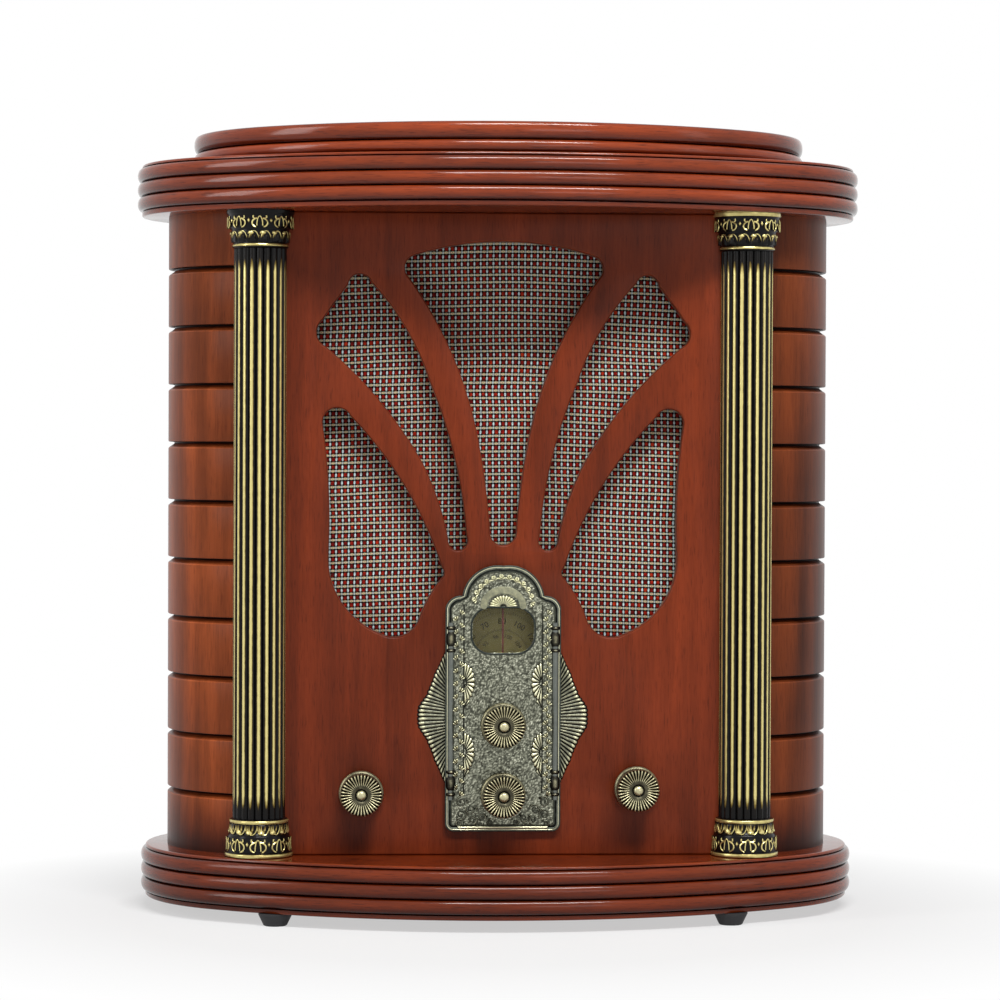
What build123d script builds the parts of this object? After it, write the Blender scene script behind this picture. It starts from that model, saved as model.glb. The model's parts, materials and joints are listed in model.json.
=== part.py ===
"""Table radio in a wooden cabinet of oval plan.

Frame: +Z up, +X to the right of somebody facing the radio, the front faces -Y.
The origin is on the table, below the middle of the cabinet. Sizes are in millimetres.
"""
import os
from math import atan2, cos, pi, radians, sin, tan

from build123d import *

os.makedirs("parts", exist_ok=True)

# Heights
foot_height = 5.9
bead = 6.85
lower_lip = 2.6
upper_lip = 1.65
board_height = lower_lip + 3 * bead + upper_lip
base_top = foot_height + board_height
top_underside = 333.4
top_face = top_underside + board_height
tier_lower_bead = 5.8
tier_upper_bead = 8.3
cabinet_height = top_underside - base_top
mid_height = (base_top + top_underside) / 2

# Plan: ovals round (0, plan_y), as half width, half depth and end radius
plan_y = 24.0
top_oval = (175.0, 112.0, 82.9)
base_oval = (172.7, 109.7, 80.8)
tier_oval = (147.8, 109.0, 88.5)
wall_oval = (160.0, 86.0, 57.0)
back_cut = 64.0
bead_depth = 1.5
bead_slope = 1.9

# Cabinet walls and panels
panel_front = plan_y - 59.0
panel_thickness = 9.0
panel_back = panel_front + panel_thickness
panel_half_width = 106.4
wall_thickness = 8.0
back_panel_front = plan_y + 56.0
back_panel_thickness = 3.0
back_panel_back = back_panel_front + back_panel_thickness
back_panel_half_width = 113.5
kerf_count = 10
kerf_pitch = 27.7
kerf_height = 3.0
kerf_depth = 3.0

# Grille cloth, its battens and the board behind it
batten_thickness = 3.0
batten_width = 6.0
cloth_front = panel_back + batten_thickness
cloth_thickness = 0.8
baffle_front = cloth_front + cloth_thickness
baffle_thickness = 5.0
baffle_back = baffle_front + baffle_thickness
baffle_half_width = 101.0
baffle_bottom = 129.5
baffle_top = 326.0
notch_half_width = 30.0
notch_top = 155.0

# Columns
column_x = 114.6
column_y = plan_y - 60.0
shaft_radius = 12.3
reed_count = 20
reed_depth = 1.0
crest_start = 0.24
base_drum = (16.0, 6.0)
base_neck = (14.8, 9.5)
capital_neck = (14.0, 8.0)
capital_drum = (15.9, 9.5)

# Escutcheon
plate_front = panel_front - 2.4
rim_front = plate_front - 1.1
plate_half_width = 27.2
plate_bottom = 42.1
plate_shoulder = 147.5
arch_half_width = 19.3
arch_foot = 153.1
arch_top = 167.3
plate_corner = 4.0
rim_width = 1.6
window_z = 136.7
window_width = 29.2
window_height = 21.1
window_corner = 8.5
hole_margin = 1.0
rod_x = 24.6
rod_radius = 1.6
rod_sides = 8
knuckle_radius = 2.4
knuckle_length = 10.0
rod_bottom = 56.5
rod_top = 141.0
knuckle_inset = 3.0
wing_thickness = 1.8

# Controls: shaft places on the front, (x, z)
tuning_at = (0.0, 92.3)
tone_at = (0.0, 59.5)
band_at = (-66.6, 60.2)
volume_at = (63.2, 62.3)
shaft_r = 3.0
running_gap = 0.05
knob_radius = 10.7
knob_length = 13.0
knob_back = panel_front - 5.0
knob_face_depth = 1.6
knob_sides = 18
knob_flange = 3.0
knob_taper = 1.4
knob_rim = 1.7
side_knob_set_back = 2.4
knob_eye_radius = 2.6
control_size = 17.0
switch_size = (24.0, 14.0)
control_depth = 10.0
bushing_end = 2.0
shaft_end_gap = 3.0
drill_radius = 4.0
drill_sides = 12

# Dial drive
gear_module = 1.5
dial_teeth = 30
pinion_teeth = 12
tooth_backlash = 0.14
addendum = 0.85
dedendum = 1.15
tip_slope = radians(23)
root_slope = radians(14)
dial_z = tuning_at[1] + gear_module * (dial_teeth + pinion_teeth) / 2
disc_radius = 27.0
disc_sides = 36
disc_front = panel_back + 1.6
disc_thickness = 1.0
gear_front = disc_front + 2.2
gear_width = 3.0
pinion_extra = 0.6
bracket_front = gear_front + 7.0
bracket_thickness = 1.6
bracket_half_width = 29.2
bracket_bottom = 82.0
bracket_top = 153.0
bracket_flange = 1.2
shaft_blind_depth = 4.0
capacitor_size = 24.0
capacitor_depth = 15.0

# Loudspeaker
speaker_z = 250.0
speaker_square = 104.0
speaker_hole = 46.0
frame_thickness = 2.0
magnet_square = 44.0
magnet_length = 15.0
cone_radius = 45.6
coil_radius = 12.5
cone_depth = 20.0
paper = 0.9
cone_sides = 24


def plan_plane(level):
    """The level plane whose origin is the middle of the cabinet's plan."""
    return Plane(origin=(0, plan_y, level), z_dir=(0, 0, 1))


def oval_arcs(half_width, half_depth, end_radius):
    """Draws a closed oval of four tangent arcs in the line builder that is open."""
    side_radius = (half_width ** 2 + half_depth ** 2 - 2 * half_width * end_radius) / (
        2 * (half_depth - end_radius)
    )
    turn = atan2(side_radius - half_depth, half_width - end_radius)
    tx = half_width - end_radius + end_radius * cos(turn)
    ty = end_radius * sin(turn)
    half_x = half_width - end_radius + end_radius * cos(turn / 2)
    half_y = end_radius * sin(turn / 2)
    ThreePointArc((half_width, 0), (half_x, half_y), (tx, ty))
    ThreePointArc((tx, ty), (0, half_depth), (-tx, ty))
    ThreePointArc((-tx, ty), (-half_width, 0), (-tx, -ty))
    ThreePointArc((-tx, -ty), (0, -half_depth), (tx, -ty))
    ThreePointArc((tx, -ty), (half_x, -half_y), (half_width, 0))


def oval_face(oval, inset=0.0):
    """Fills an oval, drawn inset by a distance, in the sketch builder that is open."""
    half_width, half_depth, end_radius = oval
    with BuildLine() as outline:
        oval_arcs(half_width - inset, half_depth - inset, end_radius - inset)
    make_face(outline.edges())


def moulded_board(oval, bottom, lip_below, beads, lip_above, rim=9.0):
    """A solid oval board edged with stacked beads, drawn as flats, and cut flat at the back."""
    half_width, half_depth, end_radius = oval
    inner = half_width - rim
    land = half_width - bead_depth
    height = lip_below + sum(beads) + lip_above
    with BuildPart() as board:
        with BuildSketch(Plane.XZ.offset(-plan_y)):
            with BuildLine():
                line = Line((inner, bottom), (land, bottom))
                level = bottom + lip_below
                for step in beads:
                    line = Line(line @ 1, (half_width, level + bead_slope))
                    line = Line(line @ 1, (half_width, level + step - bead_slope))
                    level += step
                    line = Line(line @ 1, (land, level))
                if lip_above > 0:
                    line = Line(line @ 1, (land, bottom + height))
                line = Line(line @ 1, (inner, bottom + height))
                Line(line @ 1, (inner, bottom))
            make_face()
        with BuildLine(plan_plane(0)) as edge:
            oval_arcs(half_width, half_depth, end_radius)
        sweep(path=edge.wires()[0])
        with BuildSketch(plan_plane(bottom)):
            oval_face(oval, rim - 3.0)
        extrude(amount=height)
        split(bisect_by=Plane.XZ.offset(-plan_y - back_cut), keep=Keep.TOP)
    return board


# Base plinth and feet
base_plinth = moulded_board(base_oval, foot_height, lower_lip, [bead] * 3, upper_lip)
base_plinth.part.label = "base_plinth"
export_step(base_plinth.part, "parts/base_plinth.step")

foot_x = 106.5
foot_radius = 8.1
foot_sides = 16
front_foot_y = plan_y - 76.0
back_foot_y = plan_y + 48.0
foot_land = 1.5
foot_taper = 2.6
with BuildPart() as rubber_feet:
    with BuildSketch(Plane.XY):
        with Locations(*[(x, y) for x in (-foot_x, foot_x) for y in (front_foot_y, back_foot_y)]):
            RegularPolygon(foot_radius, foot_sides)
    extrude(amount=foot_height)
    chamfer(rubber_feet.edges().group_by(Axis.Z)[0], length=foot_height - foot_land, length2=foot_taper)
rubber_feet.part.label = "rubber_feet"
export_step(rubber_feet.part, "parts/rubber_feet.step")

# Side walls: bent boards with saw kerfs all round the outside
kerf_levels = [mid_height + kerf_pitch * (i - (kerf_count - 1) / 2) for i in range(kerf_count)]


def side_wall(side):
    """One bent side wall, on the left for side -1 and on the right for side 1."""
    half_width = wall_oval[0]
    half_kerf = kerf_height / 2
    with BuildPart() as wall:
        with BuildSketch(Plane.XZ.offset(-plan_y)):
            with BuildLine():
                line = Line((half_width - wall_thickness, base_top), (half_width, base_top))
                for level in kerf_levels:
                    line = Line(line @ 1, (half_width, level - half_kerf))
                    line = Line(line @ 1, (half_width - kerf_depth, level))
                    line = Line(line @ 1, (half_width, level + half_kerf))
                line = Line(line @ 1, (half_width, top_underside))
                line = Line(line @ 1, (half_width - wall_thickness, top_underside))
                Line(line @ 1, (half_width - wall_thickness, base_top))
            make_face()
        with BuildLine(plan_plane(0)) as edge:
            oval_arcs(*wall_oval)
        sweep(path=edge.wires()[0])
        with BuildSketch(Plane.XY.offset(base_top)):
            with Locations((side * (panel_half_width + 50), (panel_front + back_panel_front) / 2)):
                Rectangle(100, back_panel_front - panel_front)
        extrude(amount=cabinet_height, mode=Mode.INTERSECT)
    return wall


for side, word in ((-1, "left"), (1, "right")):
    wall = side_wall(side)
    wall.part.label = f"side_wall_{word}"
    export_step(wall.part, f"parts/side_wall_{word}.step")

# Front panel with its fan of five openings
control_places = [tuning_at, tone_at, band_at, volume_at]


def feather_opening():
    """Upper opening beside the middle fan, on the right."""
    with BuildLine() as outline:
        inner = ThreePointArc((17.2, 181), (22.8, 217.3), (34.7, 253.3))
        inner = ThreePointArc(inner @ 1, (47.0, 280.2), (62.5, 300.5))
        nose = ThreePointArc(inner @ 1, (69.2, 304.2), (73.4, 299.3))
        slope = Line(nose @ 1, (85.6, 282.4))
        corner = ThreePointArc(slope @ 1, (88.2, 276.4), (84.0, 270.2))
        outer = ThreePointArc(corner @ 1, (60.0, 246.6), (38.0, 215.3))
        outer = ThreePointArc(outer @ 1, (30.8, 198.0), (25.9, 179.5))
        ThreePointArc(outer @ 1, (21.4, 174.3), (17.2, 181))
    make_face(outline.edges())


def lobe_opening():
    """Lower opening, on the right."""
    with BuildLine() as outline:
        inner = ThreePointArc((28.6, 165.8), (47.4, 205.9), (72.0, 237.3))
        crown = ThreePointArc(inner @ 1, (80.8, 240.8), (85.3, 234.5))
        outer = ThreePointArc(crown @ 1, (82.4, 207.0), (82.3, 172.3))
        outer = ThreePointArc(outer @ 1, (75.4, 148.7), (58.0, 135.1))
        foot = ThreePointArc(outer @ 1, (46.8, 134.3), (40.2, 140.4))
        flank = ThreePointArc(foot @ 1, (35.6, 151.2), (28.8, 161.4))
        ThreePointArc(flank @ 1, (27.7, 163.6), (28.6, 165.8))
    make_face(outline.edges())


def fan_opening():
    """Middle opening, tall and narrow below, with an arched head."""
    with BuildLine() as outline:
        head = ThreePointArc((-42.0, 313.4), (0, 319.9), (42.0, 313.4))
        right = ThreePointArc(head @ 1, (46.4, 309.6), (44.8, 302.8))
        flank = ThreePointArc(right @ 1, (27.2, 273.0), (13.1, 232.3))
        flank = ThreePointArc(flank @ 1, (8.9, 208.5), (6.3, 184.3))
        tail = ThreePointArc(flank @ 1, (0, 176.8), (-6.3, 184.3))
        flank = ThreePointArc(tail @ 1, (-8.9, 208.5), (-13.1, 232.3))
        flank = ThreePointArc(flank @ 1, (-27.2, 273.0), (-44.8, 302.8))
        ThreePointArc(flank @ 1, (-46.4, 309.6), (-42.0, 313.4))
    make_face(outline.edges())


with BuildPart() as front_panel:
    with BuildSketch(Plane.XZ.offset(-panel_back)):
        with Locations((0, mid_height)):
            Rectangle(2 * panel_half_width, cabinet_height)
    extrude(amount=panel_thickness)
    with BuildSketch(Plane.XZ.offset(-panel_back)):
        fan_opening()
    extrude(amount=panel_thickness, mode=Mode.SUBTRACT)
    for opening in (feather_opening, lobe_opening):
        with BuildSketch(Plane.XZ.offset(-panel_back)):
            opening()
            mirror(about=Plane.YZ)
        extrude(amount=panel_thickness, mode=Mode.SUBTRACT)
    with BuildSketch(Plane.XZ.offset(-panel_back)):
        with Locations((0, window_z)):
            Rectangle(window_width + hole_margin, window_height + hole_margin)
        with Locations(*control_places):
            RegularPolygon(drill_radius, drill_sides)
    extrude(amount=panel_thickness, mode=Mode.SUBTRACT)
front_panel.part.label = "front_panel"
export_step(front_panel.part, "parts/front_panel.step")

# Battens, grille cloth and the baffle board behind the front panel
with BuildPart() as cloth_battens:
    with BuildSketch(Plane.XZ.offset(-cloth_front)):
        with Locations(
            (-baffle_half_width + batten_width / 2, (baffle_bottom + baffle_top) / 2),
            (baffle_half_width - batten_width / 2, (baffle_bottom + baffle_top) / 2),
        ):
            Rectangle(batten_width, baffle_top - baffle_bottom)
    extrude(amount=batten_thickness)
cloth_battens.part.label = "cloth_battens"
export_step(cloth_battens.part, "parts/cloth_battens.step")


def notched_sheet(hole_radius=0.0):
    """Outline of the cloth and the baffle: a rectangle with a notch for the dial."""
    with Locations((0, (baffle_bottom + baffle_top) / 2)):
        Rectangle(2 * baffle_half_width, baffle_top - baffle_bottom)
    with Locations((0, (baffle_bottom + notch_top) / 2)):
        Rectangle(2 * notch_half_width, notch_top - baffle_bottom, mode=Mode.SUBTRACT)
    if hole_radius > 0:
        with Locations((0, speaker_z)):
            RegularPolygon(hole_radius, cone_sides, major_radius=False, mode=Mode.SUBTRACT)


with BuildPart() as grille_cloth:
    with BuildSketch(Plane.XZ.offset(-baffle_front)):
        notched_sheet()
    extrude(amount=cloth_thickness)
grille_cloth.part.label = "grille_cloth"
export_step(grille_cloth.part, "parts/grille_cloth.step")

with BuildPart() as baffle_board:
    with BuildSketch(Plane.XZ.offset(-baffle_back)):
        notched_sheet(speaker_hole)
    extrude(amount=baffle_thickness)
baffle_board.part.label = "baffle_board"
export_step(baffle_board.part, "parts/baffle_board.step")

# Back panel with slots for cooling air, and its screws
slot_width = 3.5
slot_length = 34.0
slot_pitch = 16.0
slot_rows_pitch = slot_length + 12.0
slots_per_row = 7
inlet_x = -70.0
inlet_z = 58.0
inlet_width = 21.0
inlet_height = 13.0
with BuildPart() as back_panel:
    with BuildSketch(Plane.XZ.offset(-back_panel_back)):
        with Locations((0, mid_height)):
            Rectangle(2 * back_panel_half_width, cabinet_height)
        with Locations((0, speaker_z)):
            with GridLocations(slot_pitch, slot_rows_pitch, slots_per_row, 2):
                Rectangle(slot_width, slot_length, mode=Mode.SUBTRACT)
        with Locations((inlet_x, inlet_z)):
            Rectangle(inlet_width, inlet_height, mode=Mode.SUBTRACT)
    extrude(amount=back_panel_thickness)
back_panel.part.label = "back_panel"
export_step(back_panel.part, "parts/back_panel.step")

screw_x = 108.0
screw_levels = (base_top + 14, top_underside - 14)
screw_head_radius = 3.6
screw_head_height = 1.8
with BuildPart() as back_screws:
    with BuildSketch(Plane.XZ.offset(-back_panel_back - screw_head_height)):
        with Locations(*[(x, z) for x in (-screw_x, screw_x) for z in screw_levels]):
            RegularPolygon(screw_head_radius, 6)
    extrude(amount=screw_head_height)
back_screws.part.label = "back_screws"
export_step(back_screws.part, "parts/back_screws.step")

# Mains inlet: a flanged block with a recess and two pins
flange_margin = 6.0
flange_thickness = 1.5
inlet_clearance = 0.4
inlet_length = 16.0
recess_size = (15.0, 8.0)
recess_depth = 11.0
pin_size = 2.2
pin_x = 4.0
pin_length = 8.0
recess_floor = back_panel_back + flange_thickness - recess_depth
with BuildPart() as power_inlet:
    with BuildSketch(Plane.XZ.offset(-back_panel_back - flange_thickness)):
        with Locations((inlet_x, inlet_z)):
            Rectangle(inlet_width + flange_margin, inlet_height + flange_margin)
    extrude(amount=flange_thickness)
    with BuildSketch(Plane.XZ.offset(-back_panel_back)):
        with Locations((inlet_x, inlet_z)):
            Rectangle(inlet_width - inlet_clearance, inlet_height - inlet_clearance)
    extrude(amount=inlet_length)
    with BuildSketch(Plane.XZ.offset(-back_panel_back - flange_thickness)):
        with Locations((inlet_x, inlet_z)):
            Rectangle(*recess_size)
    extrude(amount=recess_depth, mode=Mode.SUBTRACT)
    with BuildSketch(Plane.XZ.offset(-recess_floor)):
        with Locations((inlet_x - pin_x, inlet_z), (inlet_x + pin_x, inlet_z)):
            Rectangle(pin_size, pin_size)
    extrude(amount=-pin_length)
power_inlet.part.label = "power_inlet"
export_step(power_inlet.part, "parts/power_inlet.step")

# Top board and the smaller tier on it
top_board = moulded_board(top_oval, top_underside, lower_lip, [bead] * 3, upper_lip)
top_board.part.label = "top_board"
export_step(top_board.part, "parts/top_board.step")

top_tier = moulded_board(tier_oval, top_face, 0, [tier_lower_bead, tier_upper_bead], 0)
top_tier.part.label = "top_tier"
export_step(top_tier.part, "parts/top_tier.step")


def column(side):
    """A reeded column with a belled capital and a stepped base, standing on the plinth."""
    cx = side * column_x
    valley = shaft_radius - reed_depth
    reed = 2 * pi / reed_count
    corners = []
    for i in range(reed_count):
        for share, radius in ((0.0, valley), (crest_start, shaft_radius), (1 - crest_start, shaft_radius)):
            angle = reed * (i + share)
            corners.append((cx + radius * cos(angle), column_y + radius * sin(angle)))
    with BuildPart() as post:
        with BuildSketch(Plane.XY.offset(base_top + base_drum[1])):
            Polygon(*corners, align=None)
        extrude(amount=cabinet_height - base_drum[1] - capital_drum[1])
        for bottom, (radius, height) in (
            (base_top, base_drum),
            (base_top + base_drum[1], base_neck),
            (top_underside - capital_drum[1] - capital_neck[1], capital_neck),
            (top_underside - capital_drum[1], capital_drum),
        ):
            with BuildSketch(Plane.XY.offset(bottom)):
                with Locations((cx, column_y)):
                    RegularPolygon(radius, reed_count)
            extrude(amount=height)
        with BuildSketch(plan_plane(base_top)):
            oval_face(wall_oval)
            with Locations((0, panel_front - plan_y + 100)):
                Rectangle(400, 200, mode=Mode.INTERSECT)
        extrude(amount=cabinet_height, mode=Mode.SUBTRACT)
    return post


for side, word in ((-1, "left"), (1, "right")):
    post = column(side)
    post.part.label = f"column_{word}"
    export_step(post.part, f"parts/column_{word}.step")


def plate_outline():
    """The escutcheon plate: square shoulders and an arched head."""
    with BuildLine() as outline:
        foot_half = plate_half_width - plate_corner
        base = Line((-foot_half, plate_bottom), (foot_half, plate_bottom))
        turn = RadiusArc(base @ 1, (plate_half_width, plate_bottom + plate_corner), -plate_corner)
        right = Line(turn @ 1, (plate_half_width, plate_shoulder))
        shoulder = ThreePointArc(right @ 1, (24.6, 151.6), (arch_half_width, arch_foot))
        arch = ThreePointArc(shoulder @ 1, (0, arch_top), (-arch_half_width, arch_foot))
        shoulder = ThreePointArc(arch @ 1, (-24.6, 151.6), (-plate_half_width, plate_shoulder))
        left = Line(shoulder @ 1, (-plate_half_width, plate_bottom + plate_corner))
        RadiusArc(left @ 1, base @ 0, -plate_corner)
    make_face(outline.edges())


def wing_outline():
    """One shell-like wing of the escutcheon, on the right."""
    with BuildLine() as outline:
        upper = ThreePointArc((26.0, 129.1), (34.4, 113.2), (40.5, 95.8))
        lower = ThreePointArc(upper @ 1, (35.0, 77.5), (26.0, 61.9))
        Line(lower @ 1, upper @ 0)
    make_face(outline.edges())


with BuildPart() as escutcheon:
    with BuildSketch(Plane.XZ.offset(-panel_front)):
        plate_outline()
    extrude(amount=panel_front - plate_front)
    with BuildSketch(Plane.XZ.offset(-panel_front)):
        wing_outline()
        mirror(about=Plane.YZ)
    extrude(amount=wing_thickness)
    with BuildSketch(Plane.XZ.offset(-plate_front)):
        plate_outline()
        offset(amount=-rim_width, kind=Kind.ARC, mode=Mode.SUBTRACT)
    extrude(amount=plate_front - rim_front)
    with BuildSketch(Plane.XY.offset(rod_bottom)):
        with Locations((-rod_x, plate_front), (rod_x, plate_front)):
            RegularPolygon(rod_radius, rod_sides)
    extrude(amount=rod_top - rod_bottom)
    for level in (rod_bottom + knuckle_inset, rod_top - knuckle_inset - knuckle_length):
        with BuildSketch(Plane.XY.offset(level)):
            with Locations((-rod_x, plate_front), (rod_x, plate_front)):
                RegularPolygon(knuckle_radius, rod_sides)
        extrude(amount=knuckle_length)
    with BuildSketch(Plane.XZ.offset(-panel_front)):
        with Locations((0, window_z)):
            RectangleRounded(window_width, window_height, window_corner)
        with Locations(tuning_at, tone_at):
            RegularPolygon(drill_radius, drill_sides)
    extrude(amount=panel_front - rim_front, mode=Mode.SUBTRACT)
    with BuildSketch(Plane.XY.offset(plate_bottom)):
        with Locations((0, panel_front + 10)):
            Rectangle(100, 20)
    extrude(amount=arch_top - plate_bottom, mode=Mode.SUBTRACT)
escutcheon.part.label = "escutcheon"
export_step(escutcheon.part, "parts/escutcheon.step")

# Dial window, held behind the escutcheon in the panel's opening
lens_thickness = 1.2
lens_margin = 0.8
with BuildPart() as dial_lens:
    with BuildSketch(Plane.XZ.offset(-panel_front - lens_thickness)):
        with Locations((0, window_z)):
            Rectangle(window_width + lens_margin, window_height + lens_margin)
    extrude(amount=lens_thickness)
dial_lens.part.label = "dial_lens"
export_step(dial_lens.part, "parts/dial_lens.step")

pointer_width = 0.8
pointer_thickness = 0.6
pointer_back = panel_front + 2.4
with BuildPart() as dial_pointer:
    with BuildSketch(Plane.XZ.offset(-pointer_back)):
        with Locations((0, window_z)):
            Rectangle(pointer_width, window_height + hole_margin)
    extrude(amount=pointer_thickness)
dial_pointer.part.label = "dial_pointer"
export_step(dial_pointer.part, "parts/dial_pointer.step")


def knob(at, back, shaft_end):
    """A many-sided control knob with a sunk face round a boss, in one with its shaft at (x, z)."""
    front = back - knob_length
    with BuildPart() as turned:
        with BuildSketch(Plane.XZ.offset(-back)):
            with Locations(at):
                RegularPolygon(knob_radius, knob_sides)
        extrude(amount=knob_length)
        chamfer(turned.edges().group_by(Axis.Y)[-1], length=knob_length - knob_flange, length2=knob_taper)
        with BuildSketch(Plane.XZ.offset(-front)):
            with Locations(at):
                RegularPolygon(knob_radius - knob_rim, knob_sides)
                RegularPolygon(knob_eye_radius, knob_sides // 2, mode=Mode.SUBTRACT)
        extrude(amount=-knob_face_depth, mode=Mode.SUBTRACT)
        with BuildSketch(Plane.XZ.offset(-shaft_end)):
            with Locations(at):
                RegularPolygon(shaft_r, drill_sides)
        extrude(amount=shaft_end - back)
    return turned


def control_body(at, width, height):
    """The case of a rotary control behind the panel, with the bushing its shaft turns in."""
    with BuildPart() as case:
        with BuildSketch(Plane.XZ.offset(-(panel_back + control_depth))):
            with Locations(at):
                Rectangle(width, height)
        extrude(amount=control_depth)
        with BuildSketch(Plane.XZ.offset(-(panel_back + control_depth - bushing_end))):
            with Locations(at):
                RegularPolygon(shaft_r + running_gap, drill_sides, major_radius=False)
        extrude(amount=control_depth - bushing_end, mode=Mode.SUBTRACT)
    return case


controls = {
    "band": (band_at, knob_back + side_knob_set_back, *switch_size),
    "volume": (volume_at, knob_back + side_knob_set_back, control_size, control_size),
    "tone": (tone_at, knob_back, control_size, control_size),
}
for word, (at, back, width, height) in controls.items():
    turned = knob(at, back, panel_back + control_depth - shaft_end_gap)
    turned.part.label = f"{word}_knob"
    export_step(turned.part, f"parts/{word}_knob.step")
    case = control_body(at, width, height)
    case.part.label = f"{word}_switch" if word == "band" else f"{word}_potentiometer"
    export_step(case.part, f"parts/{case.part.label}.step")

turned = knob(tuning_at, knob_back, bracket_front + bracket_thickness + shaft_end_gap)
turned.part.label = "tuning_knob"
export_step(turned.part, "parts/tuning_knob.step")


def toothed_wheel(teeth, centre_z, first_tooth, width):
    """A spur gear with straight-flanked teeth; the first tooth's middle is at an angle in degrees."""
    pitch_radius = gear_module * teeth / 2
    tip = pitch_radius + addendum * gear_module
    root = pitch_radius - dedendum * gear_module
    half_pitch = (pi * gear_module / 4 - tooth_backlash) / pitch_radius
    half_tip = half_pitch - addendum * gear_module * tan(tip_slope) / tip
    half_root = half_pitch + dedendum * gear_module * tan(root_slope) / root
    corners = []
    for i in range(teeth):
        middle = radians(first_tooth) + 2 * pi * i / teeth
        for angle, radius in ((-half_root, root), (-half_tip, tip), (half_tip, tip), (half_root, root)):
            corners.append((radius * cos(middle + angle), centre_z + radius * sin(middle + angle)))
    with BuildPart() as wheel:
        with BuildSketch(Plane.XZ.offset(-(gear_front + gear_width))):
            Polygon(*corners, align=None)
            with Locations((0, centre_z)):
                RegularPolygon(shaft_r, drill_sides, major_radius=False, mode=Mode.SUBTRACT)
        extrude(amount=width)
    return wheel


turned = toothed_wheel(pinion_teeth, tuning_at[1], 90 + 180 / pinion_teeth, gear_width + pinion_extra)
turned.part.label = "tuning_pinion"
export_step(turned.part, "parts/tuning_pinion.step")

turned = toothed_wheel(dial_teeth, dial_z, -90, gear_width)
turned.part.label = "dial_gear"
export_step(turned.part, "parts/dial_gear.step")

dial_shaft_end = bracket_front + bracket_thickness + capacitor_depth - shaft_blind_depth - 1
with BuildPart() as dial_disc:
    with BuildSketch(Plane.XZ.offset(-(disc_front + disc_thickness))):
        with Locations((0, dial_z)):
            RegularPolygon(disc_radius, disc_sides)
    extrude(amount=disc_thickness)
dial_disc.part.label = "dial_disc"
export_step(dial_disc.part, "parts/dial_disc.step")

with BuildPart() as dial_shaft:
    with BuildSketch(Plane.XZ.offset(-dial_shaft_end)):
        with Locations((0, dial_z)):
            RegularPolygon(shaft_r, drill_sides)
    extrude(amount=dial_shaft_end - disc_front - disc_thickness)
dial_shaft.part.label = "dial_shaft"
export_step(dial_shaft.part, "parts/dial_shaft.step")

with BuildPart() as dial_bracket:
    with BuildSketch(Plane.XZ.offset(-(bracket_front + bracket_thickness))):
        with Locations((0, (bracket_bottom + bracket_top) / 2)):
            Rectangle(2 * bracket_half_width, bracket_top - bracket_bottom)
        with Locations((0, dial_z), tuning_at):
            RegularPolygon(shaft_r + running_gap, drill_sides, major_radius=False, mode=Mode.SUBTRACT)
    extrude(amount=bracket_thickness)
    with BuildSketch(Plane.XZ.offset(-bracket_front)):
        with Locations(
            (-bracket_half_width + bracket_flange / 2, (bracket_bottom + bracket_top) / 2),
            (bracket_half_width - bracket_flange / 2, (bracket_bottom + bracket_top) / 2),
        ):
            Rectangle(bracket_flange, bracket_top - bracket_bottom)
    extrude(amount=bracket_front - panel_back)
dial_bracket.part.label = "dial_bracket"
export_step(dial_bracket.part, "parts/dial_bracket.step")

bore_depth = capacitor_depth - shaft_blind_depth
with BuildPart() as tuning_capacitor:
    with BuildSketch(Plane.XZ.offset(-(bracket_front + bracket_thickness + capacitor_depth))):
        with Locations((0, dial_z)):
            Rectangle(capacitor_size, capacitor_size)
    extrude(amount=capacitor_depth)
    with BuildSketch(Plane.XZ.offset(-(bracket_front + bracket_thickness + bore_depth))):
        with Locations((0, dial_z)):
            RegularPolygon(shaft_r + running_gap, drill_sides, major_radius=False)
    extrude(amount=bore_depth, mode=Mode.SUBTRACT)
tuning_capacitor.part.label = "tuning_capacitor"
export_step(tuning_capacitor.part, "parts/tuning_capacitor.step")

# Loudspeaker behind the baffle
speaker_front = baffle_back
basket_back = speaker_front + cone_depth + 11.0
speaker_axis = Axis((0, 0, speaker_z), (0, 1, 0))
leg_width = 8.0
with BuildPart() as basket_leg:
    with BuildSketch(Plane.XY.offset(speaker_z - leg_width / 2)):
        with BuildLine():
            Polyline(
                (speaker_hole + 4.5, speaker_front + 1),
                (speaker_hole + 0.5, speaker_front + 1),
                (20, basket_back - frame_thickness),
                (20, basket_back),
                (26, basket_back),
                close=True,
            )
        make_face()
    extrude(amount=leg_width)
with BuildPart() as speaker_frame:
    with BuildSketch(Plane.XZ.offset(-(speaker_front + frame_thickness))):
        with Locations((0, speaker_z)):
            Rectangle(speaker_square, speaker_square)
            RegularPolygon(speaker_hole, cone_sides, major_radius=False, mode=Mode.SUBTRACT)
    extrude(amount=frame_thickness)
    with BuildSketch(Plane.XZ.offset(-basket_back)):
        with Locations((0, speaker_z)):
            Rectangle(magnet_square, magnet_square)
    extrude(amount=frame_thickness)
    for turn in range(4):
        add(basket_leg.part.rotate(speaker_axis, 90 * turn))
speaker_frame.part.label = "speaker_frame"
export_step(speaker_frame.part, "parts/speaker_frame.step")

with BuildPart() as speaker_magnet:
    with BuildSketch(Plane.XZ.offset(-(basket_back + magnet_length))):
        with Locations((0, speaker_z)):
            Rectangle(magnet_square - 4, magnet_square - 4)
    extrude(amount=magnet_length)
speaker_magnet.part.label = "speaker_magnet"
export_step(speaker_magnet.part, "parts/speaker_magnet.step")

throat = speaker_front + cone_depth
coil_length = 6.0


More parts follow.
